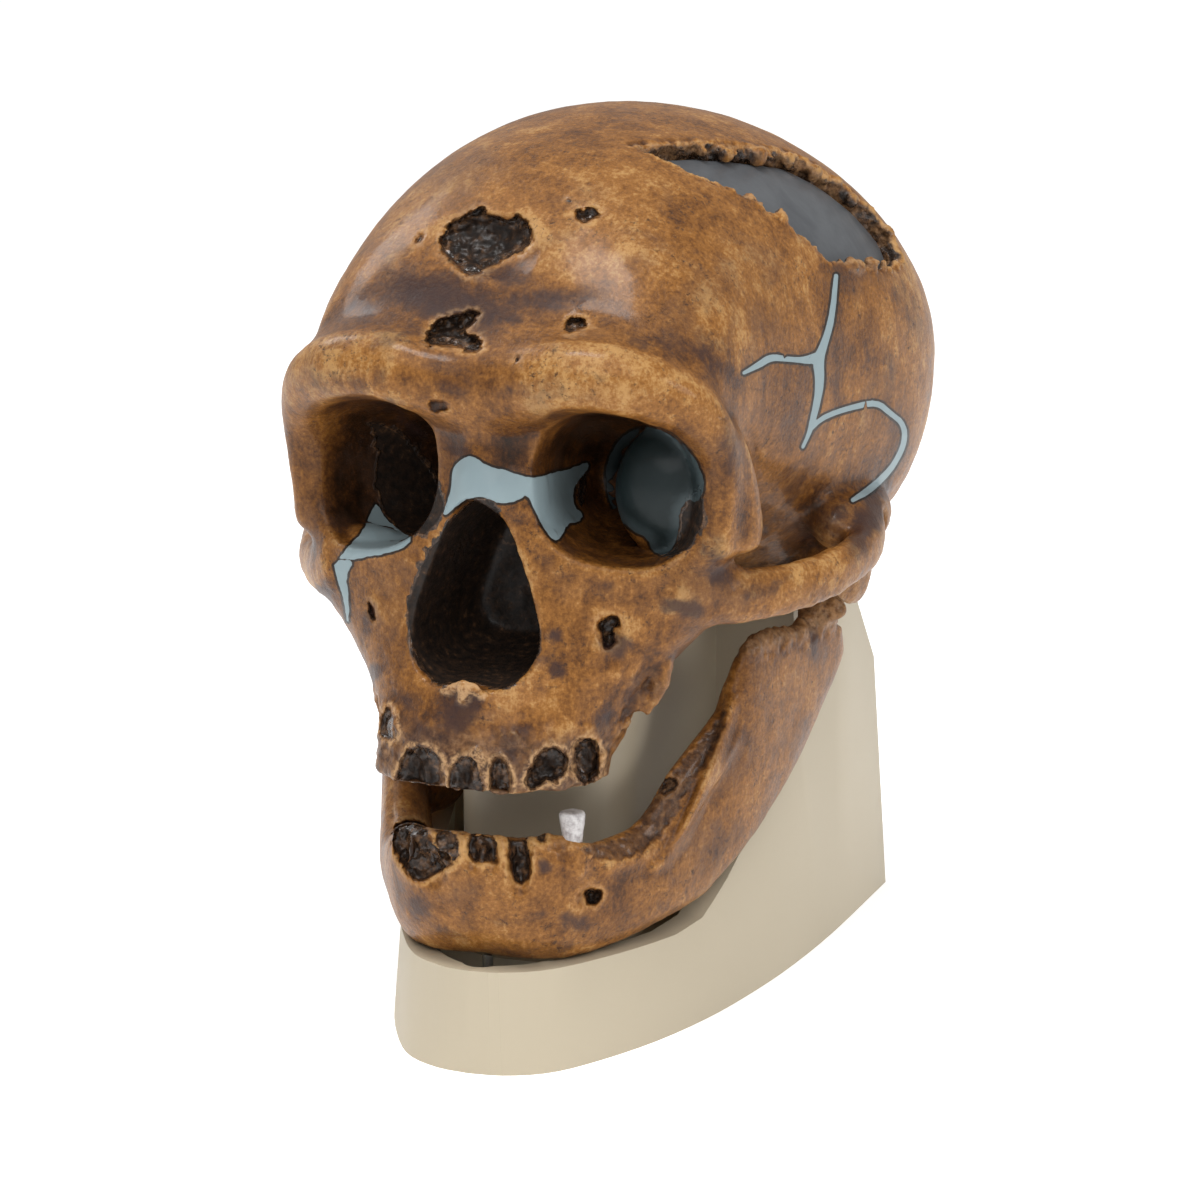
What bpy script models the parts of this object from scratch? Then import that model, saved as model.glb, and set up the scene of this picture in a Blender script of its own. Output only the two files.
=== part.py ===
"""Museum model of a fossil neanderthal skull, cranium and lower jaw, on its own plinth.

The bones are drawn in the skull's own frame, in millimetres: the ear holes at the origin,
the face toward -Y, +X the skull's own left and +Z up. They are then tipped back and lifted
onto the plinth, whose underside is the ground plane with the world origin at its centre.
"""
import math

import bmesh
import bpy
import numpy as np
from mathutils import Matrix, Vector

# Units and the pose on the plinth
MM = 0.001
TIP_BACK = math.radians(2.5)
EAR_HEIGHT = 125.0
EAR_SETBACK = 23.0
SIDE_SHIFT = -2.0

# Driving sizes of the remains, after published measures of the species
CRANIUM_LENGTH = 208.0
CRANIUM_BREADTH = 156.0
VAULT_HEIGHT = 111.0
FACE_FRONT = -121.0
VAULT_BACK = FACE_FRONT + CRANIUM_LENGTH + 11.0

# Mesh fineness: voxel sizes and the triangles each bone keeps
BONE_VOXEL = 1.5
JAW_VOXEL = 1.1
CUT_VOXEL = 1.2
CRANIUM_TRIANGLES = 8600
JAW_TRIANGLES = 3000
CLEARANCE = 0.3
FILLER_GAP = 0.5
TOOTH_GAP = 0.75
SEAT_MARGIN = 3.0
NASAL_FILLER_TRIANGLES = 400
WELD = 0.001

# Braincase cross-sections from front to back: y, top, bottom, half width, level of that width
VAULT_SECTIONS = (
    (-104, 51, 36, 40, 43), (-99, 61, 28, 48, 43), (-90, 74, 20, 53.5, 43), (-78, 86, 14, 57, 44),
    (-60, 98, 6, 60, 45), (-40, 105, -6, 64.5, 45), (-18, 109.5, -17, 69.5, 45),
    (6, VAULT_HEIGHT, -25, 75.5, 44), (30, 108, -28, CRANIUM_BREADTH / 2, 42),
    (50, 100, -24, 75.5, 41), (66, 88.5, -13, 67, 40), (78, 76, 0, 56, 39.5),
    (87, 63.5, 13, 44, 39), (94, 52, 24, 28, 38.5), (VAULT_BACK, 43, 33, 12, 38))

# Face cross-sections from brow to tooth row: z, half width, front, widest, back, roundness
FACE_SECTIONS = (
    (42, 50, -104, -82, -60, 2.2), (30, 52, -104, -84, -58, 2.0), (18, 53, -105, -82, -56, 1.9),
    (2, 55, -106.5, -80, -54, 1.8), (-8, 55, -108, -80, -55, 1.6), (-16, 52.5, -110, -79, -57, 1.6),
    (-24, 45, -112.5, -80, -60, 1.7), (-34, 36.5, -116, -84, -62, 1.9),
    (-45, 31.5, -119, -88, -64, 2.2), (-56, 30.5, FACE_FRONT, -90, -66, 2.4))

# Brow ridge and outer orbit rim of one side: x, y, z, radius
BROW = (
    (0, -104.5, 43, 10.5), (12, -107.5, 46, 10.2), (25, -107.5, 48, 9.8), (38, -104, 47, 9.2),
    (48.5, -97, 42.5, 8.2), (55, -89.5, 34, 6.6), (57, -85.5, 24, 4.9), (56, -84, 12, 4.7),
    (54, -83, 2, 6.2))
# Cheekbone and its arch back to the ear: x, y, z, radius
CHEEK_ARCH = (
    (44, -91, -5, 7.5), (49.5, -84, -8, 8), (57.5, -72, -9.5, 7.8), (66, -57, -9.5, 7.2),
    (72, -40, -8, 6.8), (74.5, -25, -6, 6.8), (74, -10, -4, 7.2), (70, 2, -2, 7.8), (63, 12, 0, 8.5))
# Slope from the forehead onto the brow, and the plate behind the outer orbit rim
BROW_SLOPE = ((0, -96, 49, 9), (14, -98, 51.5, 9.5), (28, -96, 52, 9.5), (41, -91, 49, 9), (50, -84, 43, 8))
ORBIT_PLATE = ((54.5, -83, 34, 6), (58, -78, 24, 5.8), (59.5, -73, 12, 5.8), (58.5, -73, 2, 7))
RIGHT_FACE_STRETCH = 1.02

# Jaw body and branch of one side: lower edge, upper edge, thickness
JAW_SECTIONS = (
    ((0, -102.5, -100.5), (0, -115, -68), 13), ((11, -101, -101.5), (11.5, -112.5, -68.5), 13),
    ((20, -95.5, -101.5), (20, -105.5, -69), 13), ((28, -82.5, -100.2), (25, -96, -72), 14),
    ((35.5, -67, -97), (31, -84, -77), 15), ((42, -53, -93), (38, -68, -67.5), 14),
    ((47.8, -40.5, -86), (45, -55.5, -53), 11.5), ((51.6, -30, -79), (50.7, -48, -27), 9),
    ((55, -15.5, -68.5), (54.5, -33, -23.5), 8), ((57.4, -2.5, -56), (57.4, -19, -25), 8),
    ((60, 7, -43.5), (59, -6.5, -22.5), 8.5), ((61.3, 11.5, -36.5), (61, 3.5, -27.5), 6))
RIGHT_JAW_SQUEEZE = 0.96
RIGHT_ANGLE_DROP = 8.0
RIGHT_INNER_RIDGE = ((-40, -34, -73), (8, 19, 10), (0, 0, 12))
JAW_EDGE_LIFT = 4.0
JAW_EDGE_RADIUS = 5.4

# Plinth: half widths of its plan at the ground, y and x, then heights and faces
PLINTH_PLAN = (
    (-98, 0), (-96.5, 9.5), (-90.5, 19.5), (-78, 28), (-59, 37), (-37, 44), (-15, 48.5), (10, 52),
    (45, 54.5), (98, 55.5))
# Side profile of the walls, y and z: low at the chin and rising under the jaw's lower edge
WALL_TOP = (
    (-102, 27), (-48, 26), (-36, 27.5), (-22, 35), (-8, 44), (10, 54), (23, 64), (28, 69))
TONGUE_HALF_WIDTH = 24.5
TONGUE_FRONT = -51.0
TONGUE_ROUND = 14.0
PLINTH_DRAFT = math.tan(math.radians(4.0))
FRONT_DRAFT = 0.6
NOSE_OF_PLAN = 12.0
RIM_WALL = 6.0
TRAY_FLOOR = 15.0
CORE_FRONT = 28.0
SEAT_HEIGHT = 101.0
SEAT_BACK = 76.0
SHOULDER_HEIGHT = 69.0
EDGE_EASE = 0.8
PIN_RADIUS = 1.4
PIN_LENGTH = 30.0
TRAY_FRONT = -140.0
BEYOND = 90.0
JAW_PINS = ((0, -84), (24.5, -60), (-24.5, -60))

# The broken-out window in the left side of the vault, its rim on the bone and the way in
WINDOW_RIM = (
    (19, -45, 102), (27, -47, 99), (36, -45.5, 94.5), (44, -39, 90), (50, -34, 86.5), (58, -26, 79),
    (63.5, -18, 73), (66, -11, 71), (69, 0, 70), (71.5, 13, 69), (71, 28, 70), (66, 32, 76),
    (58, 26, 85), (50, 16, 92.5), (44, 4, 98), (41, -8, 100), (36, -18, 101), (29, -31, 102))
WINDOW_WAY_IN = (0.66, -0.08, 0.75)
WINDOW_OUTWARD = 14.0
WINDOW_INWARD = 30.0
WINDOW_FLOOR = 7.0
WINDOW_FILL = 4.4

# Hollows in the cranium: centre, radii and turn
CRANIUM_HOLLOWS = (
    ((-8, -86, 81), (12, 8, 8), (38, 0, 8)), ((-1, -88, 76), (8, 7, 6), (40, 0, -20)),
    ((-9, -104, 58), (7.5, 6, 4.6), (30, 0, 0)), ((17, -77, 88), (3.2, 3.2, 4), (0, 0, 0)),
    ((22, -100, 61), (3.4, 3.6, 3), (0, 0, 0)), ((33, -101, -16), (3.4, 5, 5), (0, 0, 0)))
# Broken-open tooth sockets of the upper jaw
UPPER_SOCKETS = (
    ((-12.7, -119.5, -53), (3.8, 4, 6)), ((-5.5, -121, -53), (3, 4, 6)), ((2.2, -122, -54), (2.4, 4, 5)),
    ((8.6, -121, -52), (2.6, 4, 6.5)), ((20.6, -115, -49.5), (3.8, 5, 7.5)), ((27.5, -107, -47), (3.2, 5, 7)),
    ((-29.5, -101, -43), (3.4, 4.5, 5)))
# Sockets and openings of the lower jaw
LOWER_HOLLOWS = (
    ((-11, -118.5, -78), (8, 6, 6.5), (0, 30, 0)), ((-19, -111, -74), (4, 5, 5), (0, 0, 0)),
    ((3, -118, -71), (2.4, 4, 6.5), (0, 0, 0)), ((8, -117.5, -71), (2.4, 4, 6.5), (0, 0, 0)),
    ((14.6, -114, -74), (2.7, 4.4, 10.5), (0, 0, 0)), ((28.5, -101, -85), (3, 5, 2.4), (0, 0, 0)),
    ((32.5, -84, -74.5), (8, 6, 4.6), (0, 0, -60)), ((-28, -90, -74), (8, 8, 4), (0, 0, 55)))
# Grey repairs: centre, radii, turn
ORBIT_FILLERS = (
    ("left_orbit_filler", (40.5, -76, 17), (14, 9.5, 17), (0, 0, 20)),
    ("right_orbit_filler", (-39, -83, -3), (13, 9, 6), (0, 8, 0)))
NASAL_REPAIR = ((7, -101, 18), (13, 8, 6.5), (0, 6, 12))


def clear_scene():
    for obj in list(bpy.data.objects):
        bpy.data.objects.remove(obj, do_unlink=True)


def add_object(name, mesh):
    obj = bpy.data.objects.new(name, mesh)
    bpy.context.scene.collection.objects.link(obj)
    return obj


def object_from_bmesh(name, bm):
    bmesh.ops.recalc_face_normals(bm, faces=bm.faces)
    mesh = bpy.data.meshes.new(name)
    bm.to_mesh(mesh)
    bm.free()
    return add_object(name, mesh)


def smooth_rows(rows, count):
    """Read a smooth curve through rows of numbers at count even steps (Catmull-Rom)."""
    rows = np.array(rows, dtype=float)
    padded = np.vstack([2 * rows[0] - rows[1], rows, 2 * rows[-1] - rows[-2]])
    steps = np.linspace(0, len(rows) - 1, count)
    index = np.minimum(steps.astype(int), len(rows) - 2)
    t = (steps - index)[:, None]
    a, b, c, d = (padded[index + k] for k in range(4))
    return 0.5 * (2 * b + (c - a) * t + (2 * a - 5 * b + 4 * c - d) * t ** 2
                  + (3 * b - 3 * c + d - a) * t ** 3)


def power(value, exponent):
    return np.sign(value) * np.abs(value) ** exponent


def loft(name, rings):
    """Skin closed rings of equal point counts and cap both ends."""
    bm = bmesh.new()
    rows = [[bm.verts.new(point) for point in ring] for ring in rings]
    for low, high in zip(rows, rows[1:]):
        for i, vert in enumerate(low):
            j = (i + 1) % len(low)
            bm.faces.new((vert, low[j], high[j], high[i]))
    bm.faces.new(rows[0][::-1])
    bm.faces.new(rows[-1])
    return object_from_bmesh(name, bm)


def tube(name, rows, count=40, sides=20, flatten=1.0):
    """Sweep a circle along x, y, z, radius rows; flatten squeezes it sideways."""
    rows = smooth_rows(rows, count)
    path, radius = rows[:, :3], rows[:, 3]
    tangents = np.gradient(path, axis=0)
    rings = []
    for point, tangent, size in zip(path, tangents, radius):
        tangent = tangent / np.linalg.norm(tangent)
        helper = np.array((0.0, 0.0, 1.0)) if abs(tangent[2]) < 0.9 else np.array((0.0, 1.0, 0.0))
        across = np.cross(tangent, helper)
        across /= np.linalg.norm(across)
        above = np.cross(across, tangent)
        angles = np.linspace(0, 2 * math.pi, sides, endpoint=False)
        rings.append([point + size * (flatten * math.cos(a) * across + math.sin(a) * above)
                      for a in angles])
    return loft(name, rings)


def ellipsoid(name, centre, radii, turn=(0, 0, 0)):
    bm = bmesh.new()
    bmesh.ops.create_uvsphere(bm, u_segments=28, v_segments=18, radius=1.0)
    place = Matrix.Translation(centre)
    for axis, degrees in zip("XYZ", turn):
        place = place @ Matrix.Rotation(math.radians(degrees), 4, axis)
    bm.transform(place @ Matrix.Diagonal((*radii, 1.0)))
    return object_from_bmesh(name, bm)


def box(name, low, high):
    bm = bmesh.new()
    bmesh.ops.create_cube(bm, size=1.0)
    low, high = Vector(low), Vector(high)
    bm.transform(Matrix.Translation((low + high) / 2) @ Matrix.Diagonal((*(high - low), 1.0)))
    return object_from_bmesh(name, bm)


def cylinder(name, base, height, radius, sides=20):
    bm = bmesh.new()
    bmesh.ops.create_cone(bm, cap_ends=True, segments=sides, radius1=radius, radius2=radius,
                          depth=height)
    bm.transform(Matrix.Translation(Vector(base) + Vector((0, 0, height / 2))))
    return object_from_bmesh(name, bm)


def mirrored(rows, side):
    """Copy rows of x, y, z, radius to one side, the right face a little wider."""
    stretch = -RIGHT_FACE_STRETCH if side < 0 else 1.0
    return [(row[0] * stretch,) + tuple(row[1:]) for row in rows]


def bake(obj):
    """Apply every modifier of an object."""
    graph = bpy.context.evaluated_depsgraph_get()
    mesh = bpy.data.meshes.new_from_object(obj.evaluated_get(graph))
    obj.modifiers.clear()
    obj.data = mesh
    return obj


def join(name, pieces):
    """Gather pieces into one object and drop the originals."""
    bm = bmesh.new()
    for piece in pieces:
        bm.from_mesh(piece.data)
        bpy.data.objects.remove(piece, do_unlink=True)
    mesh = bpy.data.meshes.new(name)
    bm.to_mesh(mesh)
    bm.free()
    return add_object(name, mesh)


def fuse(name, pieces, voxel, smoothing):
    """Melt overlapping pieces into one skin and soften it."""
    obj = join(name, pieces)
    return reskin(obj, voxel, smoothing)


def reskin(obj, voxel, smoothing):
    remesh = obj.modifiers.new("skin", "REMESH")
    remesh.mode = "VOXEL"
    remesh.voxel_size = voxel
    if smoothing:
        soften = obj.modifiers.new("soften", "SMOOTH")
        soften.factor = 0.5
        soften.iterations = smoothing
    return bake(obj)


def combine(obj, tool, operation, keep_tool=False):
    boolean = obj.modifiers.new("cut", "BOOLEAN")
    boolean.operation = operation
    boolean.solver = "EXACT"
    boolean.object = tool
    bake(obj)
    if not keep_tool:
        bpy.data.objects.remove(tool, do_unlink=True)
    return obj


def duplicate(obj, name):
    return add_object(name, obj.data.copy())


def largest_body(obj):
    """Keep only the biggest connected surface."""
    bm = bmesh.new()
    bm.from_mesh(obj.data)
    left = set(bm.verts)
    bodies = []
    while left:
        stack = [left.pop()]
        body = set(stack)
        while stack:
            for edge in stack.pop().link_edges:
                for vert in edge.verts:
                    if vert not in body:
                        body.add(vert)
                        stack.append(vert)
        left -= body
        bodies.append(body)
    bodies.sort(key=len)
    for body in bodies[:-1]:
        bmesh.ops.delete(bm, geom=list(body), context="VERTS")
    bm.to_mesh(obj.data)
    bm.free()
    return obj


def mend(obj):
    """Cut out any spot where more or fewer than two faces share an edge, and cap it."""
    bm = bmesh.new()
    bm.from_mesh(obj.data)
    bmesh.ops.remove_doubles(bm, verts=bm.verts, dist=WELD)
    for _ in range(6):
        bad = {vert for edge in bm.edges if len(edge.link_faces) != 2 for vert in edge.verts}
        if not bad:
            break
        bmesh.ops.delete(bm, geom=list(bad), context="VERTS")
        loose = [vert for vert in bm.verts if not vert.link_faces]
        bmesh.ops.delete(bm, geom=loose, context="VERTS")
        rim = [edge for edge in bm.edges if len(edge.link_faces) == 1]
        bmesh.ops.holes_fill(bm, edges=rim, sides=0)
    bmesh.ops.triangulate(bm, faces=bm.faces)
    bm.to_mesh(obj.data)
    bm.free()
    return obj


def thin_out(obj, triangles):
    """Reduce a mesh to about this many triangles."""
    obj.data.calc_loop_triangles()
    now = len(obj.data.loop_triangles)
    if now > triangles:
        decimate = obj.modifiers.new("thin", "DECIMATE")
        decimate.ratio = triangles / now
        decimate.use_collapse_triangulate = True
        bake(obj)
    return largest_body(mend(obj))


def seat_matrix():
    """From the skull's own frame to the plinth's, both in millimetres."""
    return (Matrix.Translation((SIDE_SHIFT, EAR_SETBACK, EAR_HEIGHT))
            @ Matrix.Rotation(-TIP_BACK, 4, "X"))


def seat(obj):
    obj.data.transform(seat_matrix())
    return obj


def material(name, colour, roughness, metallic=0.0):
    made = bpy.data.materials.new(name)
    made.use_nodes = True
    shader = made.node_tree.nodes["Principled BSDF"]
    shader.inputs["Base Color"].default_value = (*colour, 1.0)
    shader.inputs["Roughness"].default_value = roughness
    shader.inputs["Metallic"].default_value = metallic
    made.diffuse_color = (*colour, 1.0)
    return made


def finish(obj, name, surface):
    """Bring a finished solid to metres and give it its name and material."""
    obj.name = name
    obj.data.name = name
    obj.data.transform(Matrix.Scale(MM, 4))
    obj.data.materials.clear()
    obj.data.materials.append(surface)
    obj.data.shade_smooth()
    obj.data.set_sharp_from_angle(angle=math.radians(35))
    return obj


def braincase(name, shrink=0.0):
    rings = []
    for y, top, bottom, half, level in smooth_rows(VAULT_SECTIONS, 48):
        angles = np.linspace(0, 2 * math.pi, 56, endpoint=False)
        fullness = np.interp(y, (-90, -30, 20, 60), (2.35, 2.15, 2.0, 1.95))
        ring = []
        for a in angles:
            reach = top - level if math.sin(a) > 0 else level - bottom
            bend = 2 / fullness if math.sin(a) > 0 else 2 / 2.4
            ring.append((max(half - shrink, 1.0) * power(math.cos(a), bend), y,
                         level + max(reach - shrink, 1.0) * power(math.sin(a), bend)))
        rings.append(ring)
    return loft(name, rings)


def face_block():
    rings = []
    for z, half, front, widest, back, roundness in smooth_rows(FACE_SECTIONS, 40):
        ring = []
        for a in np.linspace(0, 2 * math.pi, 56, endpoint=False):
            x = half * power(math.cos(a), 2 / roundness)
            if math.sin(a) > 0:
                y = widest + (front - widest) * power(math.sin(a), 2 / roundness)
            else:
                y = widest + (widest - back) * power(math.sin(a), 2 / 3.0)
            ring.append((x * (RIGHT_FACE_STRETCH if x < 0 else 1.0), y, z))
        rings.append(ring)
    return loft("face", rings)


def bone_mass():
    """Braincase, face, brows, cheek arches and skull base as one skin."""
    pieces = [braincase("braincase"), face_block()]
    pieces.append(tube("nose_bridge", ((0, -98, 38, 9), (0, -100, 28, 8), (0, -101, 20, 8.5),
                                       (0, -101, 12, 9))))
    pieces.append(ellipsoid("nose_spine", (0, -112, -31.5), (5, 5, 3.5)))
    pieces.append(ellipsoid("glabella", (0, -101, 46), (20, 11, 12)))
    pieces.append(ellipsoid("skull_base", (0, -38, -8), (27, 34, 18)))
    for side in (1, -1):
        pieces.append(tube("brow", mirrored(BROW, side), flatten=0.95))
        pieces.append(tube("cheek_arch", mirrored(CHEEK_ARCH, side), flatten=0.62))
        pieces.append(tube("brow_slope", mirrored(BROW_SLOPE, side)))
        pieces.append(tube("orbit_plate", mirrored(ORBIT_PLATE, side), flatten=0.75))
        pieces.append(ellipsoid("mastoid", (59 * side, 12, -14), (10, 15, 14)))
        pieces.append(ellipsoid("ear_ridge", (66 * side, 1, 1), (10, 23, 9)))
        pieces.append(ellipsoid("pterygoid", (16 * side, -56, -24), (5, 7, 16)))
    return fuse("bone_mass", pieces, BONE_VOXEL, 6)


def orbit_cutter(side):
    rings = []
    stations = ((-124, 36, 20.5, 25, 23), (-104, 34, 19.5, 21.5, 19.5), (-92, 32.8, 19, 19.8, 18.8),
                (-76, 28, 18, 17, 16), (-60, 20, 16, 9, 9), (-54, 17, 15, 4, 4))
    for y, x, z, wide, tall in smooth_rows(stations, 24):
        ring = []
        for a in np.linspace(0, 2 * math.pi, 40, endpoint=False):
            px = x + wide * power(math.cos(a), 2 / 2.5)
            pz = z + tall * power(math.sin(a), 2 / 2.5) - 0.10 * (px - x)
            ring.append((px * (1.0 if side > 0 else -RIGHT_FACE_STRETCH), y, pz))
        rings.append(ring)
    return loft("orbit", rings)


def nose_cutter():
    """Pear-shaped nasal opening, narrow at the bridge."""
    outline = ((0, 16.5), (5, 14), (9.5, 6), (13.5, -4), (16.6, -14), (17, -21), (14, -27.5),
               (7, -30.5), (0, -30))
    side = smooth_rows(outline, 26)
    full = np.vstack([side, side[-2:0:-1] * (-1, 1)])
    rings = []
    for y, scale in ((-130, 1.08), (-108, 1.0), (-96, 0.97), (-80, 0.86), (-72, 0.7)):
        rings.append([(x * scale - 1.0, y, -8 + (z + 8) * scale) for x, z in full])
    return loft("nose", rings)


def slab_through(name, rim, way, outward, inward):
    """Prism through a rim of points, reaching both ways along a direction."""
    way = np.array(way) / np.linalg.norm(way)
    rim = np.array(rim, dtype=float)
    return loft(name, [rim + way * outward, rim - way * inward])


def window_block(name, shrink):
    """The window's prism down to a floor at this depth under the vault."""
    prism = slab_through(name, WINDOW_RIM, WINDOW_WAY_IN, WINDOW_OUTWARD, WINDOW_INWARD)
    return combine(prism, braincase("window_core", shrink), "DIFFERENCE")


def broken_cheek():
    """Everything behind and below the snapped-off left half of the upper jaw."""
    edge = ((30, -70), (30, -50), (34, -45.5), (42.5, -38.5), (46.5, -31.5), (51, -21), (56, -15.5),
            (80, -13), (80, -70))
    rings = []
    for y in (-135, -62):
        lean = -90 - y
        rings.append([(x + 0.364 * lean, y, z + 0.18 * lean) for x, z in edge])
    return loft("broken_cheek", rings)


def cranium_solid():
    mass = bone_mass()
    cutters = [orbit_cutter(1), orbit_cutter(-1), nose_cutter()]
    cutters.append(ellipsoid("palate", (0, -84, -60), (19, 24, 17)))
    for side in (1, -1):
        cutters.append(ellipsoid("ear_hole", (76 * side, 2, -1), (12, 3.2, 4)))
    cutters.append(broken_cheek())
    cutters.append(window_block("window", WINDOW_FLOOR))
    for centre, radii, turn in CRANIUM_HOLLOWS:
        cutters.append(ellipsoid("hollow", centre, radii, turn))
    for centre, radii in UPPER_SOCKETS:
        cutters.append(ellipsoid("socket", centre, radii))
    for cutter in cutters:
        combine(mass, cutter, "DIFFERENCE")
    return mass


def split_nasal_repair(mass):
    """Cut the grey patch over the nose bridge out of the bone and keep both."""
    patch = ellipsoid("nasal_filler", *NASAL_REPAIR)
    filler = combine(duplicate(patch, "nasal_filler"), mass, "INTERSECT", keep_tool=True)
    combine(mass, patch, "DIFFERENCE")
    return filler


def swollen(obj, amount):
    """Copy of a solid with its skin pushed out."""
    skin = duplicate(obj, "skin")
    swell = skin.modifiers.new("swell", "DISPLACE")
    swell.mid_level = 0.0
    swell.strength = amount
    return bake(skin)


def fitted(obj, bone):
    """Trim a filler back from the finished bone and keep its largest piece."""
    return largest_body(combine(obj, swollen(bone, FILLER_GAP), "DIFFERENCE"))


def vault_filler(bone):
    prism = slab_through("vault_filler", WINDOW_RIM, WINDOW_WAY_IN, WINDOW_OUTWARD, WINDOW_INWARD)
    combine(prism, braincase("filler_core", WINDOW_FILL), "INTERSECT")
    return fitted(seat(prism), bone)


def jaw_solid():
    sections = [(*low, *high, thick) for low, high, thick in JAW_SECTIONS]
    rows = smooth_rows(sections, 44)
    left = [jaw_ring(row, rows, i) for i, row in enumerate(rows)]
    right = [[right_jaw_point(*point) for point in ring] for ring in left[:0:-1]]
    pieces = [loft("jaw_arch", right + left)]
    for side in (1, -1):
        squeeze = side if side > 0 else -RIGHT_JAW_SQUEEZE
        pieces.append(ellipsoid("condyle", (60 * squeeze, -5, -23.5), (9.5, 5, 5), (0, 0, -14 * side)))
        pieces.append(tube("jaw_edge", [(x * squeeze, y, z + JAW_EDGE_LIFT, JAW_EDGE_RADIUS)
                                        for (x, y, z), _, _ in JAW_SECTIONS[:6]]))
    pieces.append(ellipsoid("inner_ridge", *RIGHT_INNER_RIDGE))
    jaw = fuse("jaw", pieces, JAW_VOXEL, 4)
    for centre, radii, turn in LOWER_HOLLOWS:
        combine(jaw, ellipsoid("hollow", centre, radii, turn), "DIFFERENCE")
    return jaw


def right_jaw_point(x, y, z):
    """Mirror a point of the left half; the right jaw angle hangs a little lower."""
    low = min(max((-45 - z) / 35, 0), 1)
    return -x * RIGHT_JAW_SQUEEZE, y, z - RIGHT_ANGLE_DROP * low * math.exp(-((y + 25) / 22) ** 2)


def jaw_ring(row, rows, index):
    """One rounded slice of the jaw, standing across its arch."""
    low, high, thick = np.array(row[:3]), np.array(row[3:6]), row[6]
    before, after = rows[max(index - 1, 0)], rows[min(index + 1, len(rows) - 1)]
    along = (np.array(after[:6]) - np.array(before[:6])).reshape(2, 3).sum(axis=0)
    if index == 0:
        along = np.array((1.0, 0.0, 0.0))
    upward = (high - low) / 2
    across = np.cross(along, upward)
    across /= np.linalg.norm(across)
    middle = (low + high) / 2
    ring = []
    for a in np.linspace(0, 2 * math.pi, 32, endpoint=False):
        ring.append(middle + upward * power(math.sin(a), 2 / 2.6)
                    + across * (thick / 2) * power(math.cos(a), 2 / 2.2))
    return ring


def plinth_plan(height, inset=0.0):
    """Closed plan of the plinth at a height, drawn in by its draft and an inset."""
    shrink = height * PLINTH_DRAFT + inset
    side = smooth_rows(PLINTH_PLAN, 30)
    middle = (PLINTH_PLAN[0][0] + PLINTH_PLAN[-1][0]) / 2
    outline = []
    for y, x in side:
        pull = shrink * FRONT_DRAFT if y < middle else 0.0
        outline.append((max(x - shrink * min(1.0, x / NOSE_OF_PLAN), 0.0), y + pull))
    full = outline + [(-x, y) for x, y in outline[:0:-1]]
    return [(x, y, height) for x, y in full]


def rounded_tongue(height, grow=0.0):
    """Plan of the column between the two halves of the jaw, round in front."""
    half, front = TONGUE_HALF_WIDTH + grow, TONGUE_FRONT - grow
    arc = [math.radians(a) for a in range(180, 361, 15)]
    radius = TONGUE_ROUND
    left = [(half - radius + radius * math.cos(a), front + radius + radius * math.sin(a))
            for a in arc if math.cos(a) >= -1e-6]
    full = [(-x, y) for x, y in left[::-1]] + left
    full += [(half, CORE_FRONT + 20), (-half, CORE_FRONT + 20)]
    return [(x, y, height) for x, y in full]


def plinth_solid():
    block = loft("plinth_block", [plinth_plan(0), plinth_plan(SEAT_HEIGHT)])
    above = SEAT_HEIGHT + 20
    profile = list(WALL_TOP) + [(CORE_FRONT, above), (TRAY_FRONT, above), (TRAY_FRONT, WALL_TOP[0][1])]
    front = loft("front_clear", [[(x, y, z) for y, z in profile] for x in (-BEYOND, BEYOND)])
    combine(block, front, "DIFFERENCE")
    tray = loft("tray", [plinth_plan(TRAY_FLOOR, RIM_WALL), plinth_plan(SEAT_HEIGHT, RIM_WALL)])
    combine(tray, box("tray_limit", (-BEYOND, TRAY_FRONT, 0), (BEYOND, CORE_FRONT, above)), "INTERSECT")
    combine(block, tray, "DIFFERENCE")
    combine(block, loft("tongue", [rounded_tongue(TRAY_FLOOR - 3), rounded_tongue(SEAT_HEIGHT)]),
            "UNION")
    back = PLINTH_PLAN[-1][0]
    shoulder = loft("shoulder", [
        [(x, SEAT_BACK, SEAT_HEIGHT + WELD * 10), (x, back + 40, SEAT_HEIGHT + WELD * 10),
         (x, back + 40, SHOULDER_HEIGHT), (x, back, SHOULDER_HEIGHT)] for x in (-BEYOND, BEYOND)])
    combine(block, shoulder, "DIFFERENCE")
    ease = block.modifiers.new("ease", "BEVEL")
    ease.width = EDGE_EASE
    ease.segments = 2
    ease.limit_method = "ANGLE"
    ease.angle_limit = math.radians(40)
    return bake(block)


def seat_clearance():
    """Room that the skull's underside leaves for the plinth's seat and tongue."""
    top = SEAT_HEIGHT + CLEARANCE
    half = PLINTH_PLAN[-1][1] + 2 * SEAT_MARGIN
    seat_room = box("seat_clear", (-half, CORE_FRONT - SEAT_MARGIN, SHOULDER_HEIGHT - 9),
                    (half, SEAT_BACK + SEAT_MARGIN, top))
    tongue_room = loft("tongue_clear", [rounded_tongue(0, SEAT_MARGIN), rounded_tongue(top, SEAT_MARGIN)])
    return seat_room, tongue_room


def tooth_solid():
    """The single tooth left in the lower jaw: worn crown over a slim neck."""
    rings = []
    for z, wide, deep in ((-80, 2.0, 2.6), (-72, 2.6, 3.2), (-67, 3.1, 3.6), (-63, 3.8, 4.2),
                          (-60.5, 4.0, 4.4), (-59.6, 3.6, 4.0)):
        rings.append([(24.3 + wide * math.cos(a), -101.5 + deep * math.sin(a) - 0.1 * (z + 70), z)
                      for a in np.linspace(0, 2 * math.pi, 18, endpoint=False)])
    return loft("tooth", rings)


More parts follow.
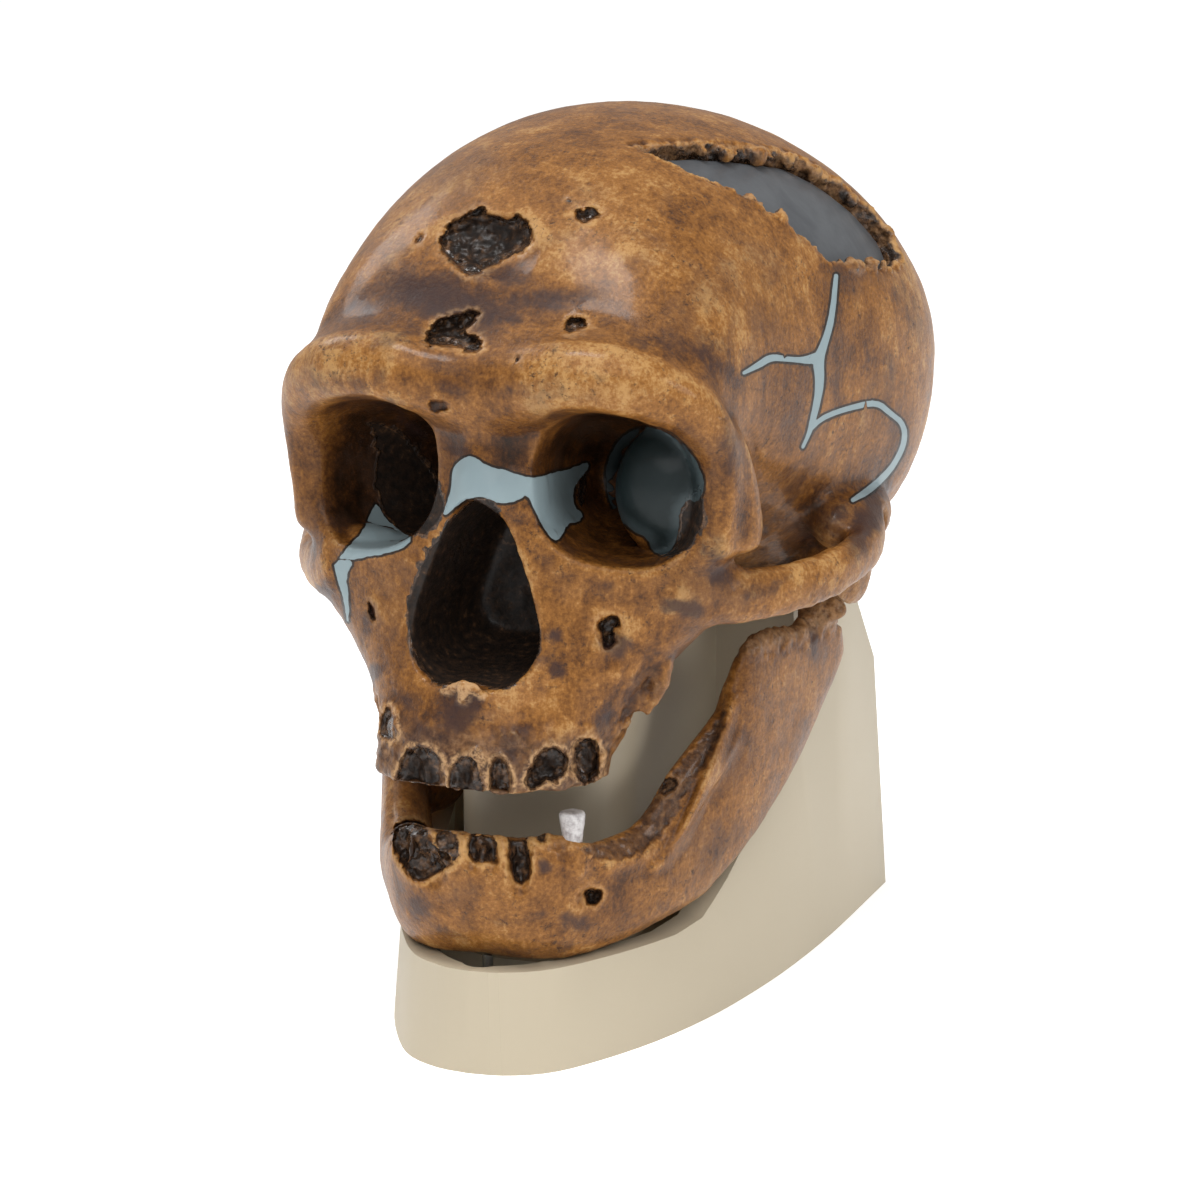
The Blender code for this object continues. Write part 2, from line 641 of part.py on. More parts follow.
def main():
    clear_scene()
    bone = material("stained_bone", (0.30, 0.17, 0.08), 0.45)
    beige = material("plinth_beige", (0.62, 0.54, 0.42), 0.6)
    grey = material("grey_filler", (0.22, 0.26, 0.28), 0.5)
    enamel = material("tooth_enamel", (0.62, 0.60, 0.55), 0.4)
    steel = material("pin_steel", (0.55, 0.55, 0.53), 0.35, 0.9)

    cranium = reskin(cranium_solid(), CUT_VOXEL, 0)
    nasal = seat(split_nasal_repair(cranium))
    seat(cranium)
    for clear in seat_clearance():
        combine(cranium, clear, "DIFFERENCE")
    thin_out(cranium, CRANIUM_TRIANGLES)

    fillers = {"vault_filler": vault_filler(cranium),
               "nasal_filler": fitted(thin_out(nasal, NASAL_FILLER_TRIANGLES), cranium)}
    for name, centre, radii, turn in ORBIT_FILLERS:
        fillers[name] = fitted(seat(ellipsoid(name, centre, radii, turn)), cranium)

    jaw = seat(jaw_solid())
    tooth = seat(tooth_solid())
    reskin(jaw, JAW_VOXEL, 0)
    combine(jaw, swollen(tooth, TOOTH_GAP), "DIFFERENCE")
    thin_out(jaw, JAW_TRIANGLES)

    plinth = plinth_solid()
    combine(plinth, swollen(jaw, FILLER_GAP), "DIFFERENCE")
    largest_body(mend(plinth))

    for x, y in JAW_PINS:
        side = "front" if x == 0 else ("left" if x > 0 else "right")
        pin = cylinder("pin", (x, y, TRAY_FLOOR + CLEARANCE), PIN_LENGTH, PIN_RADIUS, 12)
        fitted(pin, jaw)
        finish(pin, f"jaw_pin_{side}", steel)
    finish(cranium, "cranium", bone)
    finish(jaw, "mandible", bone)
    finish(tooth, "tooth", enamel)
    for name, filler in fillers.items():
        finish(filler, name, grey)
    finish(plinth, "plinth", beige)


main()
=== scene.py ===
"""Looks of the fossil skull model: worn bone, grey repairs, plinth, light and camera.

The bones start as merged copies of the frame's solids. They are skinned finely, softened, and
then carved with pits, sockets, cracks and rough edges. Outlines read off the photograph, in its
1188-pixel frame, are cast onto the bone to place repairs and stains.
"""
import itertools
import math

import bmesh
import bpy
import numpy as np
from mathutils import Matrix, Vector
from mathutils.bvhtree import BVHTree


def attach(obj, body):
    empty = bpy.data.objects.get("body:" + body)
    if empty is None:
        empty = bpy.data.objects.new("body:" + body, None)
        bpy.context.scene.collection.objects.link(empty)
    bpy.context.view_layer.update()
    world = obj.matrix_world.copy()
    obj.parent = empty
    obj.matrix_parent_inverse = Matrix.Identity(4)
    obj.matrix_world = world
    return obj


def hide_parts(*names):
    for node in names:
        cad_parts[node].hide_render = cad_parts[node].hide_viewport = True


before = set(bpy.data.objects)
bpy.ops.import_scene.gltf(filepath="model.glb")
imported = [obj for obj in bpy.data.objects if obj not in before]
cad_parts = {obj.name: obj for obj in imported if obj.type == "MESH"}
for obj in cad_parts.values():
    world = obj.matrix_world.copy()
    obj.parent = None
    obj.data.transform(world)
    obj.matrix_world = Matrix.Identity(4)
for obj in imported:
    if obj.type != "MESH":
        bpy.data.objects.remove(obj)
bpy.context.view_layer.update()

# The photograph's camera: its angle, distance and lens, aimed at the middle of the skull
PHOTO_SIZE = 1188
AZIMUTH = math.radians(20.0)
ELEVATION = math.radians(12.5)
CAMERA_DISTANCE = 1.0
AIM = Vector((-0.0076, 0.01634, 0.10042))
FOCAL_PIXELS = 3596.4
SENSOR = 36.0
TO_CAMERA = Vector((math.sin(AZIMUTH) * math.cos(ELEVATION),
                    -math.cos(AZIMUTH) * math.cos(ELEVATION), math.sin(ELEVATION)))
TO_RIGHT = Vector((math.cos(AZIMUTH), math.sin(AZIMUTH), 0.0))
TO_UP = TO_CAMERA.cross(TO_RIGHT)
CAMERA_PLACE = AIM + TO_CAMERA * CAMERA_DISTANCE

# The skull's own frame: ear holes at the origin, face toward -Y, in millimetres
MM = 0.001
SKULL_PLACE = Matrix.Translation((-0.002, 0.023, 0.125)) @ Matrix.Rotation(math.radians(-2.5), 4, "X")
SKULL_PLACE = SKULL_PLACE @ Matrix.Scale(MM, 4)

# The tray of the plinth: its floor, and the highest that its walls reach, in metres
TRAY_FLOOR_HEIGHT = 0.015
TRAY_WALL_TOP = 0.045

# Widening of the filled cracks on each side, in pixels, so that none breaks up
CRACK_SWELL = 0.35

# Seeds of the ragged edges, the same for the carving and for its colour
PIT_SEED = 20
UPPER_SEED = 60
STRIP_SEED = 79
LOWER_SEED = 80

# Millimetres taken off an outline's depth where the camera doesn't see the bone
OUT_OF_SIGHT = 9.0

# Fineness of the skins, in metres, and triangles of the two bones before their outlines are refined
CRANIUM_VOXEL = 0.00072
JAW_VOXEL = 0.0006
FLOOR_VOXEL = 0.0009
TOOTH_VOXEL = 0.0004
CRANIUM_FACES = 150000
JAW_FACES = 120000


def apply_matrix(matrix, points):
    """Transform rows of x, y, z."""
    m = np.array(matrix)
    return points @ m[:3, :3].T + m[:3, 3]


def to_skull(points):
    """From world metres to the skull's own millimetres."""
    return apply_matrix(SKULL_PLACE.inverted(), points)


def to_photo(points):
    """Pixel of the photograph that each world point falls on, and its depth in metres."""
    away = points - np.array(CAMERA_PLACE)
    depth = -(away @ np.array(TO_CAMERA))
    across = FOCAL_PIXELS * (away @ np.array(TO_RIGHT)) / depth
    upward = FOCAL_PIXELS * (away @ np.array(TO_UP)) / depth
    return np.stack([PHOTO_SIZE / 2 + across, PHOTO_SIZE / 2 - upward], axis=1), depth


def pixel_ray(x, y):
    """Direction from the camera through a pixel of the photograph."""
    way = (-TO_CAMERA * FOCAL_PIXELS + TO_RIGHT * (x - PHOTO_SIZE / 2)
           + TO_UP * (PHOTO_SIZE / 2 - y))
    return way.normalized()


def random_field(points, size, seed):
    """Smooth random value from -1 to 1 at each point, with features of about this size."""
    cell = points / size + np.array((seed * 17.31, seed * 5.77, seed * 11.13))
    base = np.floor(cell).astype(np.int64)
    part = cell - base
    part = part * part * (3 - 2 * part)
    total = np.zeros(len(points))
    for corner in itertools.product((0, 1), repeat=3):
        spot = base + np.array(corner)
        key = spot[:, 0] * 73856093 ^ spot[:, 1] * 19349663 ^ spot[:, 2] * 83492791
        key = (key ^ (key >> 13)) * 1274126177 & 0x7FFFFFFF
        key = (key ^ (key >> 15)) * 2246822519 & 0x7FFFFFFF
        weight = np.prod(np.where(corner, part, 1 - part), axis=1)
        total += weight * (key / 0x3FFFFFFF - 1)
    return total


def layered_field(points, size, seed, layers=3):
    """Several sizes of random field added up."""
    total = np.zeros(len(points))
    for layer in range(layers):
        total += random_field(points, size / 2 ** layer, seed + layer) / 2 ** layer
    return total / 1.6


def ramp(value, low, high):
    """Smooth step from 0 at low to 1 at high."""
    t = np.clip((value - low) / (high - low), 0, 1)
    return t * t * (3 - 2 * t)


def distance_to_path(spots, path, closed=False):
    """Distance from 2-D spots to a polyline, with the fraction of its length at the nearest point."""
    path = np.array(path, dtype=float)
    ends = np.roll(path, -1, axis=0) if closed else path[1:]
    starts = path if closed else path[:-1]
    best = np.full(len(spots), 1e9)
    place = np.zeros(len(spots))
    for i, (start, end) in enumerate(zip(starts, ends)):
        run = end - start
        t = np.clip(((spots - start) @ run) / max(run @ run, 1e-9), 0, 1)
        gap = np.hypot(*(spots - start - t[:, None] * run).T)
        nearer = gap < best
        best = np.where(nearer, gap, best)
        place = np.where(nearer, i + t, place)
    return best, place


def inside_outline(spots, outline):
    """Signed distance in pixels to a closed outline, positive inside."""
    gap, _ = distance_to_path(spots, outline, closed=True)
    outline = np.array(outline, dtype=float)
    inside = np.zeros(len(spots), dtype=bool)
    for (x0, y0), (x1, y1) in zip(outline, np.roll(outline, -1, axis=0)):
        crosses = (y0 > spots[:, 1]) != (y1 > spots[:, 1])
        slope = (x1 - x0) / (y1 - y0) if y1 != y0 else 0.0
        inside ^= crosses & (spots[:, 0] < x0 + slope * (spots[:, 1] - y0))
    return np.where(inside, gap, -gap)


def only(obj):
    """Select one object alone and make it active."""
    bpy.ops.object.select_all(action="DESELECT")
    obj.hide_set(False)
    obj.select_set(True)
    bpy.context.view_layer.objects.active = obj


def linked(name, data):
    """A new object of this data in the scene."""
    obj = bpy.data.objects.new(name, data)
    bpy.context.scene.collection.objects.link(obj)
    return obj


def ray_tree(obj):
    """The object's mesh as a tree for ray casts."""
    bm = bmesh.new()
    bm.from_mesh(obj.data)
    tree = BVHTree.FromBMesh(bm)
    bm.free()
    return tree


def copy_of_nodes(name, *nodes, swell=0.0):
    """Merged copy of the named solids as one new piece; all but the first can be swollen to meet it."""
    copies = []
    for node in nodes:
        copy = linked(node + "_copy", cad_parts[node].data.copy())
        only(copy)
        bpy.ops.object.mode_set(mode="EDIT")
        bpy.ops.mesh.select_all(action="SELECT")
        bpy.ops.mesh.remove_doubles(threshold=1e-6)
        bpy.ops.mesh.select_all(action="DESELECT")
        bpy.ops.object.mode_set(mode="OBJECT")
        if copies and swell:
            apply_modifier(copy, "DISPLACE", strength=swell, mid_level=0.0)
        copies.append(copy)
    return merged(name, copies)


def merged(name, parts):
    """Join objects into the first of them and name the result."""
    only(parts[0])
    for part in parts[1:]:
        part.select_set(True)
    if len(parts) > 1:
        bpy.ops.object.join()
    piece = bpy.context.view_layer.objects.active
    piece.name = piece.data.name = name
    piece.data.materials.clear()
    return piece


def add_knobs(piece, knobs):
    """Join small round lumps, given in the skull's frame, to a piece."""
    parts = [piece]
    for x, y, z, radius in knobs:
        bpy.ops.mesh.primitive_ico_sphere_add(subdivisions=2, radius=radius * MM,
                                              location=SKULL_PLACE @ Vector((x, y, z)))
        parts.append(bpy.context.active_object)
    return merged(piece.name, parts)


def near_knobs(skull, knobs):
    """1 on the lumps, 0 away from them."""
    share = np.zeros(len(skull))
    for x, y, z, radius in knobs:
        gap = np.linalg.norm(skull - np.array((x, y, z)), axis=1)
        share = np.maximum(share, ramp(radius * 1.6 - gap, 0, radius * 0.6))
    return share


def knobs_at_pixels(beads, axis, between=1):
    """Lumps on the rays of the photograph's pixels, where one skull coordinate has a given value."""
    beads = np.array(beads, dtype=float)
    steps = np.arange((len(beads) - 1) * between + 1) / between
    start = SKULL_PLACE.inverted() @ CAMERA_PLACE
    knobs = []
    for step in steps:
        x, y, value, radius = (np.interp(step, range(len(beads)), column) for column in beads.T)
        way = (SKULL_PLACE.inverted() @ (CAMERA_PLACE + pixel_ray(x, y))) - start
        spot = start + way * ((value - start[axis]) / way[axis])
        knobs.append((*spot, radius))
    return tuple(knobs)


def apply_modifier(obj, kind, **settings):
    """Add a modifier with these settings and apply it."""
    only(obj)
    modifier = obj.modifiers.new(kind.lower(), kind)
    for key, value in settings.items():
        setattr(modifier, key, value)
    bpy.ops.object.modifier_apply(modifier=modifier.name)


def read_points(obj):
    flat = np.zeros(len(obj.data.vertices) * 3)
    obj.data.vertices.foreach_get("co", flat)
    return flat.reshape(-1, 3)


def write_points(obj, points):
    obj.data.vertices.foreach_set("co", np.ascontiguousarray(points, dtype=np.float32).ravel())
    obj.data.update()


def read_normals(obj):
    flat = np.zeros(len(obj.data.vertices) * 3, dtype=np.float32)
    obj.data.vertex_normals.foreach_get("vector", flat)
    return flat.reshape(-1, 3).astype(float)


def read_edges(obj):
    flat = np.zeros(len(obj.data.edges) * 2, dtype=np.int32)
    obj.data.edges.foreach_get("vertices", flat)
    return flat.reshape(-1, 2)


def averaged(values, edges, passes, share=0.5):
    """Blur values over a mesh, each vertex toward the mean of its neighbours."""
    count = np.bincount(edges.ravel(), minlength=len(values)).clip(1)
    columns = values.reshape(len(values), -1).copy()
    for _ in range(passes):
        for c in range(columns.shape[1]):
            column = columns[:, c]
            total = (np.bincount(edges[:, 0], column[edges[:, 1]], len(column))
                     + np.bincount(edges[:, 1], column[edges[:, 0]], len(column)))
            columns[:, c] = column + share * (total / count - column)
    return columns.reshape(values.shape)


def store(obj, name, values):
    """Keep one number per vertex as an attribute for the material."""
    attribute = obj.data.attributes.new(name, "FLOAT", "POINT")
    attribute.data.foreach_set("value", np.ascontiguousarray(values, dtype=np.float32))


def seen_from_camera(obj, points, normals, slack=0.0006):
    """1 where the photograph's camera sees a vertex, 0 where bone hides it."""
    tree = ray_tree(obj)
    seen = np.zeros(len(points))
    away = points - np.array(CAMERA_PLACE)
    reach = np.linalg.norm(away, axis=1)
    ways = away / reach[:, None]
    for i in np.nonzero((normals * ways).sum(axis=1) < 0.15)[0]:
        hit = tree.ray_cast(CAMERA_PLACE, ways[i])
        if hit[3] is None or hit[3] > reach[i] - slack:
            seen[i] = 1.0
    return seen


def survey(piece, passes):
    """A piece's points, normals and edges, its points in the skull's frame, what the camera sees."""
    points, normals, edges = read_points(piece), read_normals(piece), read_edges(piece)
    seen = averaged(seen_from_camera(piece, points, normals), edges, passes)
    return points, normals, edges, to_skull(points), seen


# Outlines read off the photograph, in its pixels

# Broken-open tooth sockets of the upper jaw: outline, depth in millimetres
UPPER_SOCKETS = (
    (((395, 782), (398, 764), (406, 749), (422, 743), (438, 751), (445, 774), (442, 808), (404, 808),
      (395, 797)), 4.5),
    (((449, 770), (456, 756), (470, 753), (482, 764), (485, 785), (482, 808), (450, 808), (447, 788)), 3.0),
    (((489, 772), (493, 757), (505, 758), (512, 776), (510, 808), (488, 808)), 4.0),
    (((527, 770), (538, 750), (559, 744), (569, 756), (566, 775), (555, 785), (544, 781), (534, 793),
      (523, 784)), 5.0),
    (((572, 750), (582, 736), (596, 739), (603, 757), (600, 779), (587, 787), (574, 777)), 5.5),
    (((379, 715), (388, 703), (396, 716), (397, 738), (386, 742), (379, 735)), 3.0),
)
# Open sockets and broken hollows of the lower jaw
LOWER_SOCKETS = (
    (((390, 838), (398, 818), (426, 820), (433, 843), (457, 862), (441, 872), (422, 884), (409, 877),
      (396, 860)), 5.0),
    (((432, 832), (446, 826), (461, 836), (460, 866), (444, 860), (434, 848)), 3.0),
    (((467, 833), (481, 831), (498, 834), (500, 861), (486, 865), (469, 862)), 3.6),
    (((507, 824), (527, 823), (533, 868), (526, 884), (512, 883), (508, 860)), 4.5),
    (((535, 826), (547, 824), (549, 842), (537, 845)), 1.6),
    (((583, 891), (590, 887), (601, 890), (603, 896), (598, 904), (588, 906), (583, 899)), 4.0),
    (((657, 785), (661, 777), (672, 776), (680, 783), (674, 793), (660, 795)), 3.0),
)

# Broken pits of the forehead: outline, depth in millimetres
FOREHEAD_PITS = (
    (((437, 238), (453, 220), (468, 212), (479, 205), (496, 216), (509, 218), (520, 213), (531, 225),
      (535, 244), (522, 253), (505, 262), (487, 270), (468, 281), (457, 266), (442, 255)), 4.5),
    (((424, 338), (431, 325), (444, 316), (461, 312), (481, 310), (474, 323), (466, 333), (483, 338),
      (483, 349), (470, 354), (457, 347), (442, 347), (427, 347)), 5.0),
    (((574, 214), (585, 207), (600, 210), (600, 216), (590, 225), (579, 223)), 3.0),
    (((563, 327), (568, 318), (579, 315), (587, 320), (587, 328), (574, 334), (566, 333)), 3.0),
    (((567, 199), (571, 199), (572, 203), (568, 204)), 1.0),
    (((415, 240), (421, 232), (425, 234), (421, 242), (416, 245)), 1.2),
    (((513, 366), (515, 357), (520, 356), (521, 362), (517, 370)), 1.6),
)
# Shallow brown dents, which aren't blackened
SHALLOW_DENTS = (
    (((428, 401), (437, 398), (449, 402), (448, 411), (438, 414), (430, 409)), 1.8),
    (((495, 735), (508, 728), (520, 733), (521, 744), (508, 748)), -1.4),
)
# Holes through the cheeks for nerves
CHEEK_HOLES = (
    (((597, 623), (604, 616), (616, 614), (621, 622), (615, 634), (616, 645), (606, 652), (600, 640)), 4.0),
    (((367, 603), (371, 600), (375, 608), (376, 620), (372, 622), (367, 613)), 3.0),
)
NOSE_OPENING = (
    (474, 497), (492, 498), (502, 512), (506, 535), (508, 566), (518, 603), (528, 638), (529, 660),
    (525, 675), (513, 689), (494, 690), (484, 682), (474, 679), (462, 677), (452, 682), (444, 688),
    (436, 684), (422, 667), (410, 645), (405, 615), (410, 588), (425, 556), (447, 520))
RIGHT_ORBIT_BLACK = (
    (368, 416), (400, 433), (422, 455), (437, 477), (447, 499), (444, 518), (420, 540), (398, 531),
    (384, 512), (376, 490), (378, 470), (376, 445))
LEFT_ORBIT_CREVICE = (
    (690, 497), (700, 487), (706, 505), (703, 530), (690, 548), (668, 560), (655, 552), (668, 553),
    (677, 545), (680, 528), (681, 512))
BRIDGE_SLOT = ((577, 486), (584, 474), (587, 480), (585, 495), (582, 506), (577, 498))

# Grey repairs flush with the bone
BRIDGE_REPAIR = (
    (453, 468), (461, 459), (474, 456), (487, 466), (513, 473), (530, 479), (545, 476), (557, 472),
    (574, 468), (586, 462), (590, 467), (579, 479), (572, 492), (574, 507), (583, 515), (579, 522),
    (567, 523), (561, 538), (554, 541), (545, 530), (536, 512), (527, 493), (519, 500), (500, 504),
    (487, 497), (470, 497), (457, 505), (442, 518), (448, 501), (452, 485))
LEFT_ORBIT_REPAIR = (
    (607, 462), (618, 440), (632, 430), (648, 427), (664, 431), (683, 444), (697, 462), (704, 480),
    (703, 492), (697, 503), (688, 498), (679, 512), (679, 529), (674, 547), (664, 556), (653, 551),
    (648, 538), (632, 530), (618, 518), (609, 500), (606, 481))
RIGHT_ORBIT_REPAIR = (
    (372, 510), (377, 503), (386, 520), (400, 532), (413, 538), (400, 551), (337, 562), (348, 547),
    (363, 532))
RIGHT_CHEEK_REPAIR = ((333, 561), (355, 560), (345, 576), (349, 600), (348, 628), (344, 600), (337, 578))
# Grey-filled cracks of the left side: points with the width of the filling, in pixels
FILLED_CRACKS = (
    ((836, 276, 3), (834, 299, 4), (831, 322, 5), (824, 345, 6), (818, 360, 10), (820, 380, 8),
     (818, 398, 6), (813, 420, 5), (809, 434, 3), (803, 447, 2)),
    ((818, 358, 11), (808, 360, 7), (798, 360, 4), (786, 359, 4), (771, 357, 6), (759, 365, 5),
     (744, 373, 2)),
    ((811, 428, 4), (820, 420, 3.5), (831, 414, 4), (853, 407, 4), (877, 402, 5), (890, 413, 4),
     (904, 424, 4), (905, 442, 4), (896, 462, 4), (884, 477, 5), (868, 491, 6), (853, 500, 3)),
)

# The inner wall of the left orbit, which the light reaches, in the terms of a stain; the painted shade is
# lessened there
LEFT_ORBIT_LIT_WALL = (598, 512, 52, 52, 0, 1.0)

# Small lumps of broken bone in the skull's frame: x, y, z and radius in millimetres
FACE_KNOBS = (
    (-5.3, -115.2, -30.8, 1.3), (-2.6, -116.2, -29.9, 1.3), (0.2, -117.0, -29.4, 1.9),
    (2.8, -116.2, -29.8, 1.6), (4.9, -115.6, -31.4, 1.2), (0.2, -117.2, -32.4, 1.4),
    (4.6, -119.4, -45.5, 1.3), (6.0, -119.6, -47.2, 1.4), (4.9, -119.8, -49.4, 1.2))
# The torn spur of the left cheek
CHEEK_SPUR = (
    (41.4, -84.5, -27.0, 3.2), (41.0, -84.5, -30.2, 3.0), (40.2, -84.8, -33.2, 2.6),
    (39.2, -85.6, -36.0, 2.0), (38.4, -86.2, -38.4, 1.3), (37.2, -86.4, -35.0, 2.2),
    (35.4, -87.6, -37.4, 1.9), (33.6, -89.4, -41.2, 1.7), (31.4, -92.0, -43.6, 1.7))
# Crumbs of bone along the window's near and far edges, in the same terms
WINDOW_CRUMBS = (
    (43.0, -38.5, 89.0, 1.6), (46.5, -36.0, 87.5, 2.5), (49.0, -34.0, 86.5, 1.3),
    (53.5, -30.5, 83.0, 2.6), (64.5, -13.0, 70.5, 1.4), (66.5, -7.0, 70.0, 2.6),
    (67.5, -3.0, 69.8, 1.5), (69.2, 3.5, 69.4, 2.6), (70.5, 10.0, 69.0, 1.4),
    (31.0, -28.0, 99.5, 1.6), (35.0, -21.0, 99.0, 2.8), (36.5, -17.5, 99.0, 1.3),
    (40.0, -9.0, 98.0, 3.2), (42.5, -4.0, 97.6, 1.4), (44.5, 4.0, 96.0, 2.4),
    (49.0, 13.5, 92.5, 2.6), (51.0, 17.0, 90.5, 1.3), (57.0, 24.0, 85.0, 2.6), (66.0, 31.0, 76.0, 1.5))
# Lumps on the torn top of the left ramus
JAW_KNOBS = ((52.0, -47.0, -28.6, 1.4), (54.6, -43.0, -28.2, 1.2), (57.0, -33.0, -28.8, 1.2))
# The worn tooth against its node: narrower and lower
TOOTH_TRIM = (0.84, 0.84, 0.86)
# The inner ledge of the left jaw: pixel, sideways place in the skull's frame, radius
JAW_LEDGE = (
    (722, 716, 47.0, 2.5), (713, 731, 46.0, 2.9), (702, 747, 44.6, 3.2), (691, 763, 43.2, 3.4),
    (680, 779, 41.6, 3.6), (670, 795, 40.0, 3.6), (661, 811, 38.4, 3.5), (650, 826, 36.5, 3.4),
    (636, 838, 34.3, 3.3), (620, 846, 32.0, 3.2), (604, 851, 29.6, 3.0), (590, 853, 27.6, 2.6))
# From the ledge's inner row of lumps to its outer row, in the same terms
LEDGE_STEP = (14, 8, 2.6, 1.0)
# Bone around the root of the tooth: pixel, place to the front in the skull's frame, radius
ROOT_COVER = (
    (571, 851, -102.6, 3.5), (573, 860, -102.6, 3.5), (575, 869, -102.8, 3.2), (560, 846, -103.6, 3.0),
    (548, 843, -105.0, 3.0), (586, 852, -101.6, 2.6))

# The ridge that runs down the front of the ramus and along the body of the jaw
JAW_RIDGE = ((734, 690), (727, 725), (712, 765), (697, 805), (680, 842), (664, 862), (646, 874))
# The dark inner strip behind the teeth of the left jaw
JAW_INNER_STRIP = (
    (727, 706), (712, 722), (690, 750), (664, 780), (646, 806), (634, 828), (612, 838), (584, 842),
    (578, 853), (604, 862), (632, 860), (655, 846), (672, 822), (690, 790), (712, 756), (726, 730))
# The groove behind the left end of the brow
BROW_END_GROOVE = (
    (742, 418), (752, 436), (757, 462), (759, 492), (762, 520), (768, 545))

# Stains: pixel of the middle, half sizes, tilt in degrees, strength
STAINS = (
    (450, 300, 84, 24, 10, 0.75), (545, 300, 66, 17, -6, 0.60), (500, 278, 50, 12, 12, 0.5),
    (350, 385, 60, 26, -5, 0.35), (380, 290, 22, 54, 40, 0.55), (700, 345, 50, 16, 12, 0.45),
    (395, 330, 30, 40, 60, 0.4),
    (372, 300, 20, 40, 30, 0.35), (450, 385, 40, 10, -5, 0.4), (510, 392, 16, 11, 0, 0.40),
    (553, 388, 16, 9, 0, 0.35), (600, 377, 12, 6, 0, 0.45), (396, 404, 16, 8, 10, 0.45),
    (413, 425, 22, 9, 30, 0.5), (462, 450, 12, 10, 0, 0.5), (650, 345, 34, 9, 10, 0.5),
    (728, 372, 30, 14, 45, 0.5), (735, 455, 14, 36, -15, 0.45), (708, 555, 18, 26, 20, 0.55),
    (720, 574, 13, 11, 0, 0.8), (683, 607, 22, 9, 0, 0.9), (612, 645, 16, 16, 0, 0.8),
    (557, 638, 9, 9, 0, 0.8), (557, 674, 12, 8, 20, 0.8), (545, 665, 22, 9, 10, 0.45),
    (600, 715, 16, 16, 0, 0.55), (640, 690, 20, 14, -30, 0.5), (379, 676, 9, 9, 0, 0.8),
    (457, 718, 22, 26, 30, 0.75), (410, 705, 20, 14, 0, 0.45), (518, 737, 12, 11, 0, 0.6),
    (430, 742, 34, 9, 0, 0.75), (500, 778, 60, 16, 0, 0.8), (560, 770, 46, 26, 0, 0.8),
    (432, 772, 50, 26, 0, 0.85), (508, 752, 16, 22, 10, 0.7),
    (450, 700, 26, 12, 0, 0.4), (360, 660, 14, 40, 10, 0.4), (600, 590, 50, 14, 12, 0.3),
    (422, 738, 14, 10, 0, 0.6), (326, 600, 16, 16, 30, 0.75), (372, 625, 10, 22, 0, 0.55),
    (313, 620, 20, 26, 0, 0.4), (763, 590, 30, 8, -18, 0.5), (790, 480, 24, 26, 40, 0.35),
    (862, 340, 14, 46, -8, 0.35), (890, 365, 12, 50, -10, 0.4), (835, 330, 8, 34, 5, 0.3),
    (780, 300, 40, 34, 30, 0.25), (700, 300, 44, 30, 0, 0.2), (830, 520, 34, 14, -35, 0.6),
    (870, 520, 16, 44, 15, 0.75), (905, 300, 16, 60, -10, 0.35))
JAW_STAINS = (
    (813, 640, 8, 22, 10, 1.0), (548, 860, 8, 9, 0, 0.8), (540, 921, 15, 7, 0, 0.7),
    (572, 925, 22, 11, 10, 0.7), (418, 905, 14, 15, 0, 0.8), (468, 890, 20, 12, 0, 0.5),
    (566, 950, 24, 7, 0, 0.45), (500, 925, 34, 9, 5, 0.4), (748, 752, 8, 34, 8, 0.5),
    (722, 838, 10, 34, 30, 0.6), (700, 810, 14, 34, 30, 0.35), (785, 700, 9, 44, 20, 0.4),
    (655, 905, 44, 10, -25, 0.45), (620, 880, 24, 8, -15, 0.4), (600, 850, 18, 14, 0, 0.35),
    (440, 930, 22, 10, 15, 0.6), (398, 880, 8, 26, 0, 0.6))


class Wire:
    """A shader socket that sums, differences and products can be written with."""

    def __init__(self, shade, socket):
        self.shade = shade
        self.socket = socket

    def maths(self, operation, first, second=0.0):
        return self.shade.add("ShaderNodeMath", {"operation": operation}, [first, second])

    def __add__(self, other):
        return self.maths("ADD", self, other)

    def __radd__(self, other):
        return self.maths("ADD", other, self)

    def __sub__(self, other):
        return self.maths("SUBTRACT", self, other)

    def __rsub__(self, other):
        return self.maths("SUBTRACT", other, self)

    def __mul__(self, other):
        return self.maths("MULTIPLY", self, other)

    def __rmul__(self, other):
        return self.maths("MULTIPLY", other, self)

    def step(self, low, high):
        """Smooth step from 0 to 1 between two values of this socket."""
        return self.shade.add("ShaderNodeMapRange", {"interpolation_type": "SMOOTHSTEP"}, [self, low, high])

    def clamp(self):
        return self.shade.add("ShaderNodeClamp", {}, [self, 0.0, 1.0])


